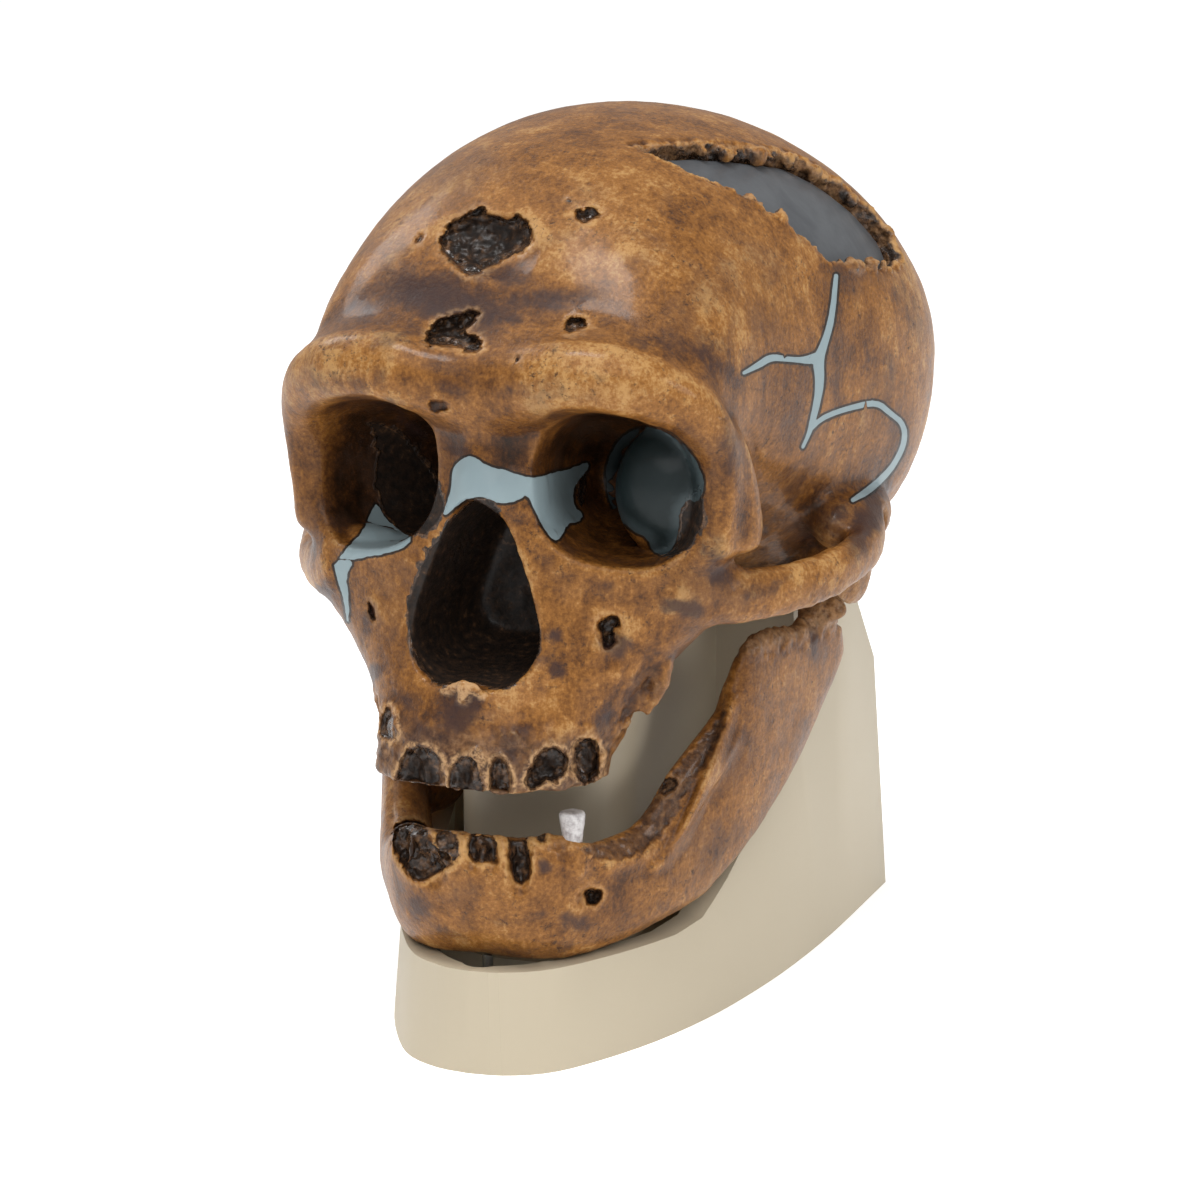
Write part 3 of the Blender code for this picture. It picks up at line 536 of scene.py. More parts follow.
class Shade:
    """One material being wired."""

    def __init__(self, name):
        self.material = bpy.data.materials.new(name)
        self.material.use_nodes = True
        self.tree = self.material.node_tree
        self.surface = self.tree.nodes["Principled BSDF"]

    def plug(self, value, socket):
        if isinstance(value, Wire):
            self.tree.links.new(value.socket, socket)
        elif value is not None:
            socket.default_value = value

    def add(self, kind, settings, values, output=0):
        """Add a node: its settings first, then values or wires for its sockets in order or by name."""
        node = self.tree.nodes.new(kind)
        for key, value in settings.items():
            if key == "stops":
                elements = node.color_ramp.elements
                while len(elements) < len(value):
                    elements.new(1.0)
                for element, (place, colour) in zip(elements, value):
                    element.position = place
                    element.color = (*colour, 1.0)
            else:
                setattr(node, key, value)
        pairs = values.items() if isinstance(values, dict) else enumerate(values)
        for key, value in pairs:
            self.plug(value, node.inputs[key])
        return Wire(self, node.outputs[output])

    def place(self, stretch=(1.0, 1.0, 1.0), turn=(0.0, 0.0, 0.0)):
        """Object coordinates, in metres, turned and stretched."""
        spot = self.add("ShaderNodeTexCoord", {}, {}, "Object")
        if stretch == (1.0, 1.0, 1.0):
            return spot
        return self.add("ShaderNodeMapping", {}, {"Vector": spot, "Rotation": turn, "Scale": stretch})

    def noise(self, size, detail=4.0, roughness=0.55, place=None, warp=0.0):
        """Noise from 0 to 1 with features of a size in millimetres."""
        return self.add("ShaderNodeTexNoise", {}, {
            "Vector": place or self.place(), "Scale": 1 / (size * MM), "Detail": detail,
            "Roughness": roughness, "Distortion": warp}, "Fac")

    def attribute(self, name):
        return self.add("ShaderNodeAttribute", {"attribute_name": name}, {}, "Fac")

    def mix(self, factor, first, second):
        def opaque(colour):
            return colour if isinstance(colour, Wire) else (*colour, 1.0)
        return self.add("ShaderNodeMix", {"data_type": "RGBA"},
                        {0: factor, 6: opaque(first), 7: opaque(second)}, 2)

    def colours(self, factor, stops):
        return self.add("ShaderNodeValToRGB", {"stops": stops}, [factor])

    def finish(self, **sockets):
        """Set the surface's sockets, named with underscores for spaces."""
        for key, value in sockets.items():
            socket = self.surface.inputs[key.replace("_", " ")]
            self.plug((*value, 1.0) if key == "Base_Color" and isinstance(value, tuple) else value, socket)
        return self.material


def give(obj, material):
    obj.data.materials.clear()
    obj.data.materials.append(material)


# Colours as linear light
BONE_TONES = (
    (0.0, (0.011, 0.005, 0.002)), (0.22, (0.032, 0.012, 0.004)), (0.42, (0.080, 0.029, 0.007)),
    (0.60, (0.162, 0.062, 0.012)), (0.80, (0.275, 0.114, 0.024)), (1.0, (0.430, 0.232, 0.078)))
STAIN_COLOUR = (0.036, 0.018, 0.016)
DARK_SPECK = (0.032, 0.015, 0.009)
DUSKY_BONE = (0.098, 0.052, 0.033)
BLACK_LINING = (0.015, 0.011, 0.009)
BROWN_HOLLOW = (0.040, 0.019, 0.010)
PALE_BREAK = (0.500, 0.300, 0.145)
REPAIR_GREY = (0.260, 0.335, 0.355)
REPAIR_EDGE = (0.012, 0.009, 0.007)
SLATE = (0.060, 0.064, 0.070)
PLINTH_BEIGE = (0.475, 0.410, 0.300)
# Grey-green of the tray, lighter than the beige: painted light against the shadow down in the tray
TRAY_GREY_PAINTED_LIGHT = (0.640, 0.630, 0.520)


def bone_material(name, grain, bright):
    """Varnished brown bone with stains, blackened hollows, pale breaks and grey repairs.

    The grain is the strength of its fibres, and bright the middle of its tones, 0 to 1.
    """
    shade = Shade(name)
    broad = shade.noise(30, 5, 0.6, warp=0.5)
    mottle = shade.noise(8, 6, 0.66, warp=0.8)
    fibres = shade.noise(2.6, 5, 0.65, shade.place((1.0, 0.8, 0.16), (0.25, 0.1, 0.0)), 0.3)
    specks = shade.noise(1.1, 4, 0.7)
    lumps = shade.noise(2.0, 4, 0.6)
    # Painted shade and light: darker in grooves and pits, lighter on ridges
    cavity = shade.attribute("cavity")
    # Painted shade: darker where the bone shuts itself in
    grime = shade.attribute("grime")
    tone = bright + (broad - 0.5) * 0.90 + (mottle - 0.5) * 0.66 + (fibres - 0.5) * grain
    tone = tone + (specks - 0.5) * 0.80 - cavity * 0.28 - grime * 0.22
    colour = shade.colours(tone.clamp(), BONE_TONES)
    patches = shade.noise(16, 4, 0.6, warp=0.6).step(0.42, 0.62)
    dusk = shade.noise(24, 4, 0.6, warp=0.5).step(0.48, 0.68) * 0.40
    colour = shade.mix(dusk, colour, DUSKY_BONE)
    dark_specks = shade.noise(1.5, 4, 0.75).step(0.54, 0.68) * (patches * 0.75 + 0.15)
    colour = shade.mix(dark_specks, colour, DARK_SPECK)

    patchy = shade.noise(5.0, 6, 0.7, warp=0.5)
    stained = (shade.attribute("stain") * 1.6 + (patchy - 0.5) * 1.5 - 0.25).step(0.0, 0.75)
    colour = shade.mix(stained * 0.85 * shade.attribute("stain").step(0.02, 0.2), colour, STAIN_COLOUR)

    torn = shade.attribute("torn")
    spongy = shade.colours(lumps, ((0.36, BROWN_HOLLOW), (0.50, (0.130, 0.062, 0.028)),
                                   (0.66, (0.270, 0.145, 0.066))))
    colour = shade.mix(torn * 0.9, colour, spongy)
    pale = shade.attribute("pale") * shade.noise(1.7, 4, 0.7).step(0.38, 0.58)
    colour = shade.mix(pale * 0.85, colour, PALE_BREAK)

    hollow = shade.attribute("hollow")
    blackened = hollow.step(0.05, 0.55)
    deep = hollow.step(1.6, 2.9)
    lining = shade.colours(lumps - deep * 0.13, (
        (0.28, BLACK_LINING), (0.48, (0.034, 0.020, 0.013)), (0.62, (0.120, 0.062, 0.031)),
        (0.74, (0.240, 0.135, 0.068))))
    colour = shade.mix(blackened, colour, lining)

    repair = shade.attribute("repair")
    edge = (repair + (patchy - 0.5) * 0.5).step(-0.86, -0.52) * (1 - hollow.step(0.0, 0.4))
    filled = repair.step(-0.14, -0.02)
    colour = shade.mix(edge * 0.92, colour, REPAIR_EDGE)
    paste = shade.mix(shade.noise(11, 3, 0.5), REPAIR_GREY, (0.215, 0.275, 0.295))
    # Painted shade: the repair plate deep in the left orbit darkens to near black
    paste = shade.mix(shade.attribute("dim"), paste, (0.012, 0.019, 0.020))
    colour = shade.mix(filled, colour, paste)

    gloss = 0.43 + (mottle - 0.5) * 0.30 + pale * 0.2 + torn * 0.1
    gloss = gloss * (1 - blackened) + blackened * (0.17 + deep * 0.22)
    height = (specks * 0.55 + fibres * 0.5 - dark_specks * 0.3) * (1 - filled) * (1 - blackened)
    height = height + lumps * (blackened * (1 - deep * 0.7) + torn) * 2.4
    normal = shade.add("ShaderNodeBump", {}, {"Strength": 0.6, "Distance": 0.0007, "Height": height})
    return shade.finish(Base_Color=colour, Roughness=gloss.clamp(), Normal=normal,
                        Specular_IOR_Level=0.16, Coat_Weight=0.18 + blackened * 0.35 - deep * 0.46,
                        Coat_Roughness=0.18)


def plinth_material(name, base, other):
    """Matt casting with faint clouds and a fine grain."""
    shade = Shade(name)
    cloud = shade.noise(45, 3, 0.5)
    dust = shade.noise(1.5, 2, 0.5)
    normal = shade.add("ShaderNodeBump", {}, {"Strength": 0.25, "Distance": 0.00012, "Height": dust})
    return shade.finish(Base_Color=shade.mix(cloud * 0.4, base, other),
                        Roughness=0.52 + (cloud - 0.5) * 0.12, Normal=normal)


def filler_material(name, base, other, roughness):
    """Smooth modelling paste with faint clouds and tool marks."""
    shade = Shade(name)
    cloud = shade.noise(14, 4, 0.6, warp=0.5)
    marks = shade.noise(3, 3, 0.5, shade.place((0.3, 1.0, 1.0), (0.0, 0.4, 0.6)))
    normal = shade.add("ShaderNodeBump", {}, {"Strength": 0.3, "Distance": 0.0003, "Height": marks})
    return shade.finish(Base_Color=shade.mix(cloud.step(0.3, 0.7), base, other),
                        Roughness=roughness + (marks - 0.5) * 0.15, Normal=normal)


def tooth_material():
    """Whitish tooth with a greyer, pitted root."""
    shade = Shade("tooth_white")
    patches = shade.noise(2.2, 4, 0.65)
    colour = shade.mix(patches.step(0.4, 0.72), (0.56, 0.54, 0.53), (0.27, 0.24, 0.24))
    normal = shade.add("ShaderNodeBump", {}, {"Strength": 0.4, "Distance": 0.0002,
                                              "Height": shade.noise(0.9, 3, 0.6)})
    return shade.finish(Base_Color=colour, Roughness=0.4, Normal=normal, Coat_Weight=0.2)


def steel_material():
    shade = Shade("pin_steel")
    brushed = shade.noise(0.8, 3, 0.6, shade.place((1.0, 1.0, 0.2), (0.0, 0.0, 0.0)))
    return shade.finish(Base_Color=shade.mix(brushed, (0.42, 0.41, 0.39), (0.30, 0.29, 0.27)),
                        Roughness=0.3 + brushed * 0.2, Metallic=1.0)


def rounded(path, rounds, closed):
    """A path of pixels with its corners cut off."""
    path = np.array(path, dtype=float)
    for _ in range(rounds):
        here, after = (path, np.roll(path, -1, axis=0)) if closed else (path[:-1], path[1:])
        cuts = np.stack([here * 0.75 + after * 0.25, here * 0.25 + after * 0.75], axis=1)
        cuts = cuts.reshape(-1, path.shape[1])
        path = cuts if closed else np.concatenate([path[:1], cuts, path[-1:]])
    return path


def outline_depth(points, outline, seed=0, wobble=1.0):
    """How far inside a photographed outline each point lies, in millimetres, with a ragged edge."""
    spots, depth = to_photo(points)
    near = ((spots > np.min(outline, axis=0) - 16) & (spots < np.max(outline, axis=0) + 16)).all(axis=1)
    result = np.full(len(points), -3.0)
    if not near.any():
        return result
    inside = inside_outline(spots[near], rounded(outline, 1, True)) * depth[near] / FOCAL_PIXELS / MM
    ragged = layered_field(points[near] / MM, 1.9, seed, 3) * wobble
    result[near] = np.clip(inside + ragged, -3.0, 6.0)
    return result


def crack_depth(points, path, wobble=0.06):
    """How far inside a filled crack of changing width each point lies, in millimetres."""
    spots, depth = to_photo(points)
    trail = rounded(path, 2, False)
    gap, place = distance_to_path(spots, trail[:, :2])
    half = np.interp(place, range(len(trail)), trail[:, 2]) / 2 + CRACK_SWELL
    result = ((half - gap) * depth / FOCAL_PIXELS / MM).clip(-3.0, 3.0)
    near = result > -2
    result[near] += layered_field(points[near] / MM, 2.0, 5, 2) * wobble
    return result


def near_line(points, path, half_width):
    """1 on a line of the photograph, fading to 0 at a half width in pixels."""
    spots, _ = to_photo(points)
    gap, place = distance_to_path(spots, path)
    ends = ramp(place, 0, 0.6) * ramp(len(path) - 1 - place, 0, 0.6)
    return ramp(half_width - gap, 0, half_width) * ends


def stain_strength(points, stains):
    """Strength of the photographed stains at each point, 0 to 1, with wandering edges."""
    spots, _ = to_photo(points)
    for seed, size, reach in ((41, 12.0, 11.0), (45, 4.0, 5.0)):
        spots[:, 0] += layered_field(points / MM, size, seed) * reach
        spots[:, 1] += layered_field(points / MM, size, seed + 2) * reach
    total = np.zeros(len(points))
    for x, y, wide, tall, tilt, strength in stains:
        turn = math.radians(tilt)
        dx, dy = spots[:, 0] - x, spots[:, 1] - y
        u = (dx * math.cos(turn) + dy * math.sin(turn)) / wide
        v = (dy * math.cos(turn) - dx * math.sin(turn)) / tall
        total = np.maximum(total, strength * np.exp(-0.8 * (u * u + v * v)))
    return total


def push_along_view(points, amount_mm, keep=None):
    """Move points away from the photograph's camera, so they keep their place in the picture."""
    away = points - np.array(CAMERA_PLACE)
    away /= np.linalg.norm(away, axis=1)[:, None]
    if keep is not None:
        amount_mm = amount_mm * keep
    return points + away * (amount_mm * MM)[:, None]


def skin(piece, voxel, passes):
    """Fine even skin over a merged copy, with its facets softened."""
    apply_modifier(piece, "REMESH", mode="VOXEL", voxel_size=voxel)
    write_points(piece, averaged(read_points(piece), read_edges(piece), passes))


def thin_out(piece, faces):
    """Bring a bone down to a number of triangles."""
    apply_modifier(piece, "DECIMATE", ratio=min(1.0, faces / (2 * len(piece.data.polygons))))


def roughen(points, normals, amounts, size, seed):
    """Push points along their normals by a random field, by amounts in millimetres."""
    field = layered_field(points / MM, size, seed, 3)
    return points + normals * (field * amounts * MM)[:, None]


def cavity_of(piece, points, normals, passes=14):
    """Positive in grooves and pits, negative on ridges, about -1 to 1."""
    smooth = averaged(points, read_edges(piece), passes)
    sunk = ((smooth - points) * normals).sum(axis=1) / MM
    return np.clip(sunk * 2.2, -1, 1)


# The window in the vault: its rim on the bone in the skull's frame, and the way straight in
WINDOW_RIM = (
    (19, -45, 102), (27, -47, 99), (36, -45.5, 94.5), (44, -39, 90), (50, -34, 86.5), (58, -26, 79),
    (63.5, -18, 73), (66, -11, 71), (69, 0, 70), (71.5, 13, 69), (71, 28, 70), (66, 32, 76),
    (58, 26, 85), (50, 16, 92.5), (44, 4, 98), (41, -8, 100), (36, -18, 101), (29, -31, 102))
WINDOW_WAY_IN = (0.66, -0.08, 0.75)


def window_rim_gap(skull):
    """Distance in millimetres to the window's rim, seen straight in, and how high on the vault."""
    way = np.array(WINDOW_WAY_IN) / np.linalg.norm(WINDOW_WAY_IN)
    across = np.cross(way, (0, 0, 1.0))
    across /= np.linalg.norm(across)
    above = np.cross(across, way)
    flat = np.stack([skull @ across, skull @ above], axis=1)
    rim = np.array(WINDOW_RIM, dtype=float)
    gap, _ = distance_to_path(flat, np.stack([rim @ across, rim @ above], axis=1), closed=True)
    return np.where(skull @ way > 45, gap, 99.0)


def inside_nose(skull):
    """How far inside the nasal cavity a point lies, in millimetres, in the skull's frame."""
    x, y, z = skull.T
    half = np.interp(z, (-30, -27.5, -21, -14, -4, 6, 14, 16.5), (7, 14, 17, 16.6, 13.5, 9.5, 5, 0))
    front = -101 - (16 - z) * 0.24
    walls = np.minimum(np.minimum(half + 1.6 - np.abs(x + 1), z + 33), 16.5 - z)
    return np.clip(np.minimum(np.minimum(walls, y - front - 2.2), -60 - y), -3, 3)


def lip_of(inside, width=1.7):
    """1 on a narrow band just outside an outline."""
    return ramp(inside, -width, -0.5 * width) * (1 - ramp(inside, -0.1, 0.3))


def carve(points, seen, carvings, seed, edge=0.9, lip=0.0):
    """Sink each photographed outline into the bone, with a rough floor and a raised lip."""
    for i, (outline, depth_mm) in enumerate(carvings):
        inside = outline_depth(points, outline, seed + i)
        near = (inside > -2.5) & (seen > 0)
        spots, inside = points[near], inside[near]
        rough = layered_field(spots / MM, 2.4, seed + i, 3) * min(abs(depth_mm), 3) * 0.6
        raised = lip_of(inside) * lip * (0.6 + layered_field(spots / MM, 3.0, seed + 9, 2))
        sunk = ramp(inside, -0.1, edge) * (depth_mm + rough) - raised
        points[near] = push_along_view(spots, sunk, seen[near])
    return points


def part_of_mesh(edges, share):
    """The vertices with a share above nothing, and the edges among them, numbered anew."""
    inside = share > 0
    number = np.cumsum(inside) - 1
    return inside, number[edges[inside[edges].all(axis=1)]]


def evened(points, edges, share, passes):
    """Smooth one region of the mesh, by a share for each vertex."""
    inside, own_edges = part_of_mesh(edges, share)
    result = points.copy()
    smooth = averaged(points[inside], own_edges, passes)
    result[inside] += (smooth - points[inside]) * share[inside][:, None]
    return result


def fill_creases(piece, points, edges, share, passes=14):
    """Raise the floors of creases toward their surroundings, by a share for each vertex."""
    inside, own_edges = part_of_mesh(edges, share)
    for _ in range(6):
        write_points(piece, points)
        normals = read_normals(piece)[inside]
        moved = averaged(points[inside], own_edges, passes) - points[inside]
        sunk = (moved * normals).sum(axis=1).clip(0, None) * share[inside]
        points[inside] += normals * sunk[:, None]
    return points


def refine(piece, chosen, cuts=1):
    """Cut the faces between chosen vertices into finer ones, for crisp outlines."""
    only(piece)
    bpy.ops.object.mode_set(mode="EDIT")
    bpy.ops.mesh.select_mode(type="VERT")
    bpy.ops.mesh.select_all(action="DESELECT")
    bpy.ops.object.mode_set(mode="OBJECT")
    piece.data.vertices.foreach_set("select", np.ascontiguousarray(chosen, dtype=bool))
    bpy.ops.object.mode_set(mode="EDIT")
    bpy.ops.mesh.subdivide(number_cuts=cuts)
    bpy.ops.mesh.select_all(action="SELECT")
    bpy.ops.mesh.quads_convert_to_tris()
    bpy.ops.mesh.select_all(action="DESELECT")
    bpy.ops.object.mode_set(mode="OBJECT")


def shut_in(piece, points, normals, rays=8, reach=0.04):
    """Share of the outward directions at each vertex that the same piece blocks within a reach."""
    tree = ray_tree(piece)
    turns = np.arange(rays) + 0.5
    height = 1 - 2 * turns / rays
    around = turns * math.pi * (1 + 5 ** 0.5)
    flat = np.sqrt(1 - height * height)
    sphere = np.stack([flat * np.cos(around), flat * np.sin(around), height], axis=1)
    blocked = np.zeros(len(points))
    starts = points + normals * 0.0012
    for way in sphere:
        along = normals @ way
        ways = np.where(along[:, None] < 0, way - 2 * along[:, None] * normals, way)
        for i, start in enumerate(starts):
            if tree.ray_cast(start, ways[i], reach)[0] is not None:
                blocked[i] += 1 / rays
    return blocked


def back_seams(skull):
    """1 on the wandering seams between the bones at the back of the vault."""
    x, y, z = skull.T
    wander = layered_field(skull, 6, 51, 3) * 3.2
    crossing = np.abs(z - 66 + 1.05 * np.abs(x) + wander) / 1.45 + 9 * (1 - ramp(y, 24, 36))
    middle = np.abs(x + wander) + 9 * (1 - ramp(y, 22, 34) * ramp(z, 62, 66))
    return ramp(1.5 - np.minimum(crossing, middle), 0, 1.3)


def back_relief(skull):
    """Height in millimetres of the guessed forms of the back: bun, ridge for the neck, seams."""
    x, y, z = skull.T
    bun = 3.4 * np.exp(-(x / 36) ** 2 - ((z - 34) / 19) ** 2)
    neck_ridge = 2.6 * np.exp(-((z - 5 + 0.006 * x * x) / 4.5) ** 2) * ramp(56 - np.abs(x), 0, 22)
    return (bun + neck_ridge) * ramp(y, 45, 72) - 0.6 * back_seams(skull)


def shape_in_stages(piece, *stages):
    """Run the stages that shape a piece, each on the mesh that the last one left."""
    points, edges = read_points(piece), read_edges(piece)
    for stage in stages:
        points = stage(piece, points, edges)
        write_points(piece, points)


def soften_cranium(piece, points, edges):
    """Even out the vault, the glabella and the brow's ends more than the sharp-edged face."""
    skull = to_skull(points)
    x, y, z = skull.T
    vault = np.maximum(ramp(z, 62, 72), ramp(y, -70, -50) * ramp(z, 8, 20))
    points = evened(points, edges, vault * ramp(window_rim_gap(skull), 4, 9), 40)
    glabella = ramp(24 - np.abs(x + 1), 0, 14) * ramp(z, 26, 38) * ramp(74 - z, 0, 14) * ramp(-76 - y, 0, 8)
    points = evened(points, edges, glabella, 260)
    brow_end = ramp(np.abs(x), 42, 50) * ramp(z, -12, 0) * ramp(58 - z, 0, 8) * ramp(-48 - y, 0, 8)
    points = evened(points, edges, brow_end, 40)
    above_brow = ramp(z, 36, 46) * ramp(94 - z, 0, 14) * ramp(-46 - y, 0, 12)
    points = fill_creases(piece, points, edges, above_brow, 60)
    write_points(piece, points)
    return points + read_normals(piece) * (back_relief(skull) * MM)[:, None]


def carve_cranium(piece, points, edges):
    """Sink the pits, dents, holes and sockets that the photograph shows."""
    seen = averaged(seen_from_camera(piece, points, read_normals(piece)), edges, 2)
    points = carve(points, seen, FOREHEAD_PITS + SHALLOW_DENTS + CHEEK_HOLES, PIT_SEED, lip=0.15)
    points = carve(points, seen, UPPER_SOCKETS, UPPER_SEED, edge=1.0, lip=0.6)
    return push_along_view(points, 0.5 * near_line(points, BROW_END_GROOVE, 5), seen)


def roughen_cranium(piece, points, _):
    """Worn bone all over, and torn bone at the window, the tooth row and the left cheek."""
    normals = read_normals(piece)
    skull = to_skull(points)
    x, y, z = skull.T
    rim = ramp(3.2 - window_rim_gap(skull), 0, 2)
    tooth_row = ramp(-34 - z, 0, 8) * ramp(-82 - y, 0, 8)
    torn_cheek = ramp(8 - np.abs(x - 38), 0, 5) * ramp(-20 - z, 0, 6)
    under = ramp(-6 - z, 0, 8) * ramp(y + 62, 0, 8)
    points = roughen(points, normals, 0.16 + 0.16 * ramp(22 - z, 0, 20), 6.0, 2)
    points = roughen(points, normals, np.maximum(rim * 1.4, tooth_row * 0.9), 3.4, 3)
    points = roughen(points, normals, np.maximum(0.8 * torn_cheek, 0.4 * under), 4.0, 4)
    return roughen(points, normals, np.maximum(0.6 * rim, 0.12 * ramp(26 - z, 0, 20)), 2.0, 6)


def make_cranium():
    """The cranium with its grey repairs as one bone, finest along the outlines of its marks."""
    piece = copy_of_nodes("cranium_bone", "cranium", "nasal_filler", "left_orbit_filler",
                          "right_orbit_filler", swell=0.0006)
    piece = add_knobs(piece, FACE_KNOBS + CHEEK_SPUR + WINDOW_CRUMBS)
    skin(piece, CRANIUM_VOXEL, 7)
    shape_in_stages(piece, soften_cranium, carve_cranium, roughen_cranium)
    thin_out(piece, CRANIUM_FACES)
    _, repair, _ = cranium_depths(piece)
    refine(piece, np.abs(repair) < 2.0)
    hollow, repair, _ = cranium_depths(piece)
    refine(piece, (np.abs(repair) < 0.8) | ((hollow > -0.7) & (hollow < 0.9)))
    mark_cranium(piece)
    finish_piece(piece, bone_material("cranium_bone", 0.45, 0.59), "stained_bone",
                 "cranium", "nasal_filler", "left_orbit_filler", "right_orbit_filler")


def mark_cranium(piece):
    """Store where the cranium is hollow, repaired, stained, torn and pale, and its painted shade and light.
    """
    hollow, repair, lips = cranium_depths(piece)
    points, normals, edges, skull, seen = survey(piece, 2)
    x, y, z = skull.T
    outward = normals @ (np.array(WINDOW_WAY_IN) / np.linalg.norm(WINDOW_WAY_IN))
    rim_gap = window_rim_gap(skull) + layered_field(skull, 4, 9) * 0.5
    wall = ramp(4.5 - rim_gap, 0, 2) * ramp(0.72 - outward, 0, 0.3)
    rim_line = ramp(1.3 - rim_gap, 0, 0.8) * ramp(outward - 0.5, 0, 0.3) * 0.6
    ragged = 0.5 + layered_field(skull, 3, 11)
    burnt_row = ramp(-39 - z, 0, 6) * ramp(-84 - y, 0, 8) * (ragged + 0.25)
    cheek_edge = ramp(5 - np.abs(x - 40), 0, 4) * ramp(-26 - z, 0, 6) * ragged
    underside = ramp(-6 - z, 0, 8) * ramp(y + 62, 0, 8) * 0.4
    plate = outline_depth(points, LEFT_ORBIT_REPAIR, 8, 0.0)
    knobs = near_knobs(skull, FACE_KNOBS)
    # Painted shade where the bone shuts itself in, lessened on the lit wall of the left orbit
    grime = averaged(shut_in(piece, points, normals), edges, 2)
    lit = 1 - stain_strength(points, (LEFT_ORBIT_LIT_WALL,))
    store(piece, "hollow", np.maximum(hollow, wall * ragged * 0.8 - 0.05))
    store(piece, "repair", repair.clip(-3, 3))
    # Painted shade on the repair plate deep in the left orbit, a little lighter at its edge
    store(piece, "dim", ramp(plate, -0.8, -0.2) * (0.84 + 0.16 * ramp(plate, 0.4, 3.0)))
    store(piece, "stain", np.maximum(stain_strength(points, STAINS) * seen, 0.55 * back_seams(skull)))
    store(piece, "torn", np.max([wall, cheek_edge, underside, burnt_row], axis=0).clip(0, 1))
    store(piece, "pale", np.max([rim_line, lips, knobs, wall * 0.28], axis=0))
    # Painted shade in grooves and pits, painted light on ridges
    store(piece, "cavity", cavity_of(piece, points, normals))
    store(piece, "grime", ramp(grime, 0.25, 0.95) * lit)


def cranium_depths(piece):
    """Signed depths of the blackened hollows and the grey repairs, and how pale the lips are."""
    points, _, _, skull, seen = survey(piece, 1)
    hidden = OUT_OF_SIGHT * (1 - seen)
    hollow = inside_nose(skull)
    lips = np.zeros(len(points))
    # Each kind: its outlines, the seed that carved them, the set-back of the black, the paleness
    kinds = ((FOREHEAD_PITS, PIT_SEED, 0.25, 0.45),
             (CHEEK_HOLES, PIT_SEED + len(FOREHEAD_PITS + SHALLOW_DENTS), 0.4, 0.2),
             (UPPER_SOCKETS, UPPER_SEED, 0.25, 1.0))
    for carvings, seed, inset, paleness in kinds:
        for i, (outline, _) in enumerate(carvings):
            inside = outline_depth(points, outline, seed + i)
            hollow = np.maximum(hollow, inside - inset - hidden)
            lips = np.maximum(lips, lip_of(inside, 1.2) * paleness * seen)
    for outline in (NOSE_OPENING, RIGHT_ORBIT_BLACK, LEFT_ORBIT_CREVICE, BRIDGE_SLOT):
        hollow = np.maximum(hollow, (outline_depth(points, outline, 7) * 4).clip(-3, 6) - hidden)
    repair = np.full(len(points), -3.0)
    for outline in (BRIDGE_REPAIR, LEFT_ORBIT_REPAIR, RIGHT_ORBIT_REPAIR, RIGHT_CHEEK_REPAIR):
        repair = np.maximum(repair, outline_depth(points, outline, 8, 0.25) - hidden)
    for path in FILLED_CRACKS:
        repair = np.maximum(repair, crack_depth(points, path) - hidden)
    return hollow, repair, lips


def soften_jaw(piece, points, edges):
    """Fill the creases of the left side and even out the top of the branches."""
    x, _, z = to_skull(points).T
    left_side = ramp(x, 22, 30) * ramp(-34 - z, 0, 6) * ramp(z + 92, 0, 6)
    points = fill_creases(piece, points, edges, left_side * 0.8)
    return evened(points, edges, ramp(z + 40, 0, 5), 60)


def carve_jaw(piece, points, edges):
    """Raise the ridge of the left side, and sink its inner strip and the sockets."""
    seen = averaged(seen_from_camera(piece, points, read_normals(piece)), edges, 2)
    points = push_along_view(points, -2.6 * near_line(points, JAW_RIDGE, 11), seen)
    strip = ramp(outline_depth(points, JAW_INNER_STRIP, STRIP_SEED), 0, 1.5)
    points = push_along_view(points, 1.2 * strip, seen)
    return carve(points, seen, LOWER_SOCKETS, LOWER_SEED, lip=0.3)


def roughen_jaw(piece, points, _):
    """Worn bone all over, and torn bone at the tooth row and the top of the branches."""
    normals = read_normals(piece)
    _, y, z = to_skull(points).T
    tooth_row = ramp(z + 80, 0, 6) * ramp(-78 - y, 0, 10)
    torn_top = ramp(z + 34, 0, 5)
    points = roughen(points, normals, 0.22, 6.0, 12)
    return roughen(points, normals, np.maximum(0.7 * tooth_row, 1.1 * torn_top), 3.4, 13)


def make_jaw():
    """The lower jaw, with the inner ledge of its left side as rows of joined lumps."""
    outer_ledge = np.array(JAW_LEDGE) + LEDGE_STEP
    piece = add_knobs(copy_of_nodes("jaw_bone", "mandible"),
                      JAW_KNOBS + knobs_at_pixels(JAW_LEDGE, 0, 4) + knobs_at_pixels(outer_ledge, 0, 4)
                      + knobs_at_pixels(ROOT_COVER, 1))
    skin(piece, JAW_VOXEL, 7)
    shape_in_stages(piece, soften_jaw, carve_jaw, roughen_jaw)
    thin_out(piece, JAW_FACES)
    mark_jaw(piece)
    finish_piece(piece, bone_material("jaw_bone", 0.30, 0.64), "stained_bone", "mandible")


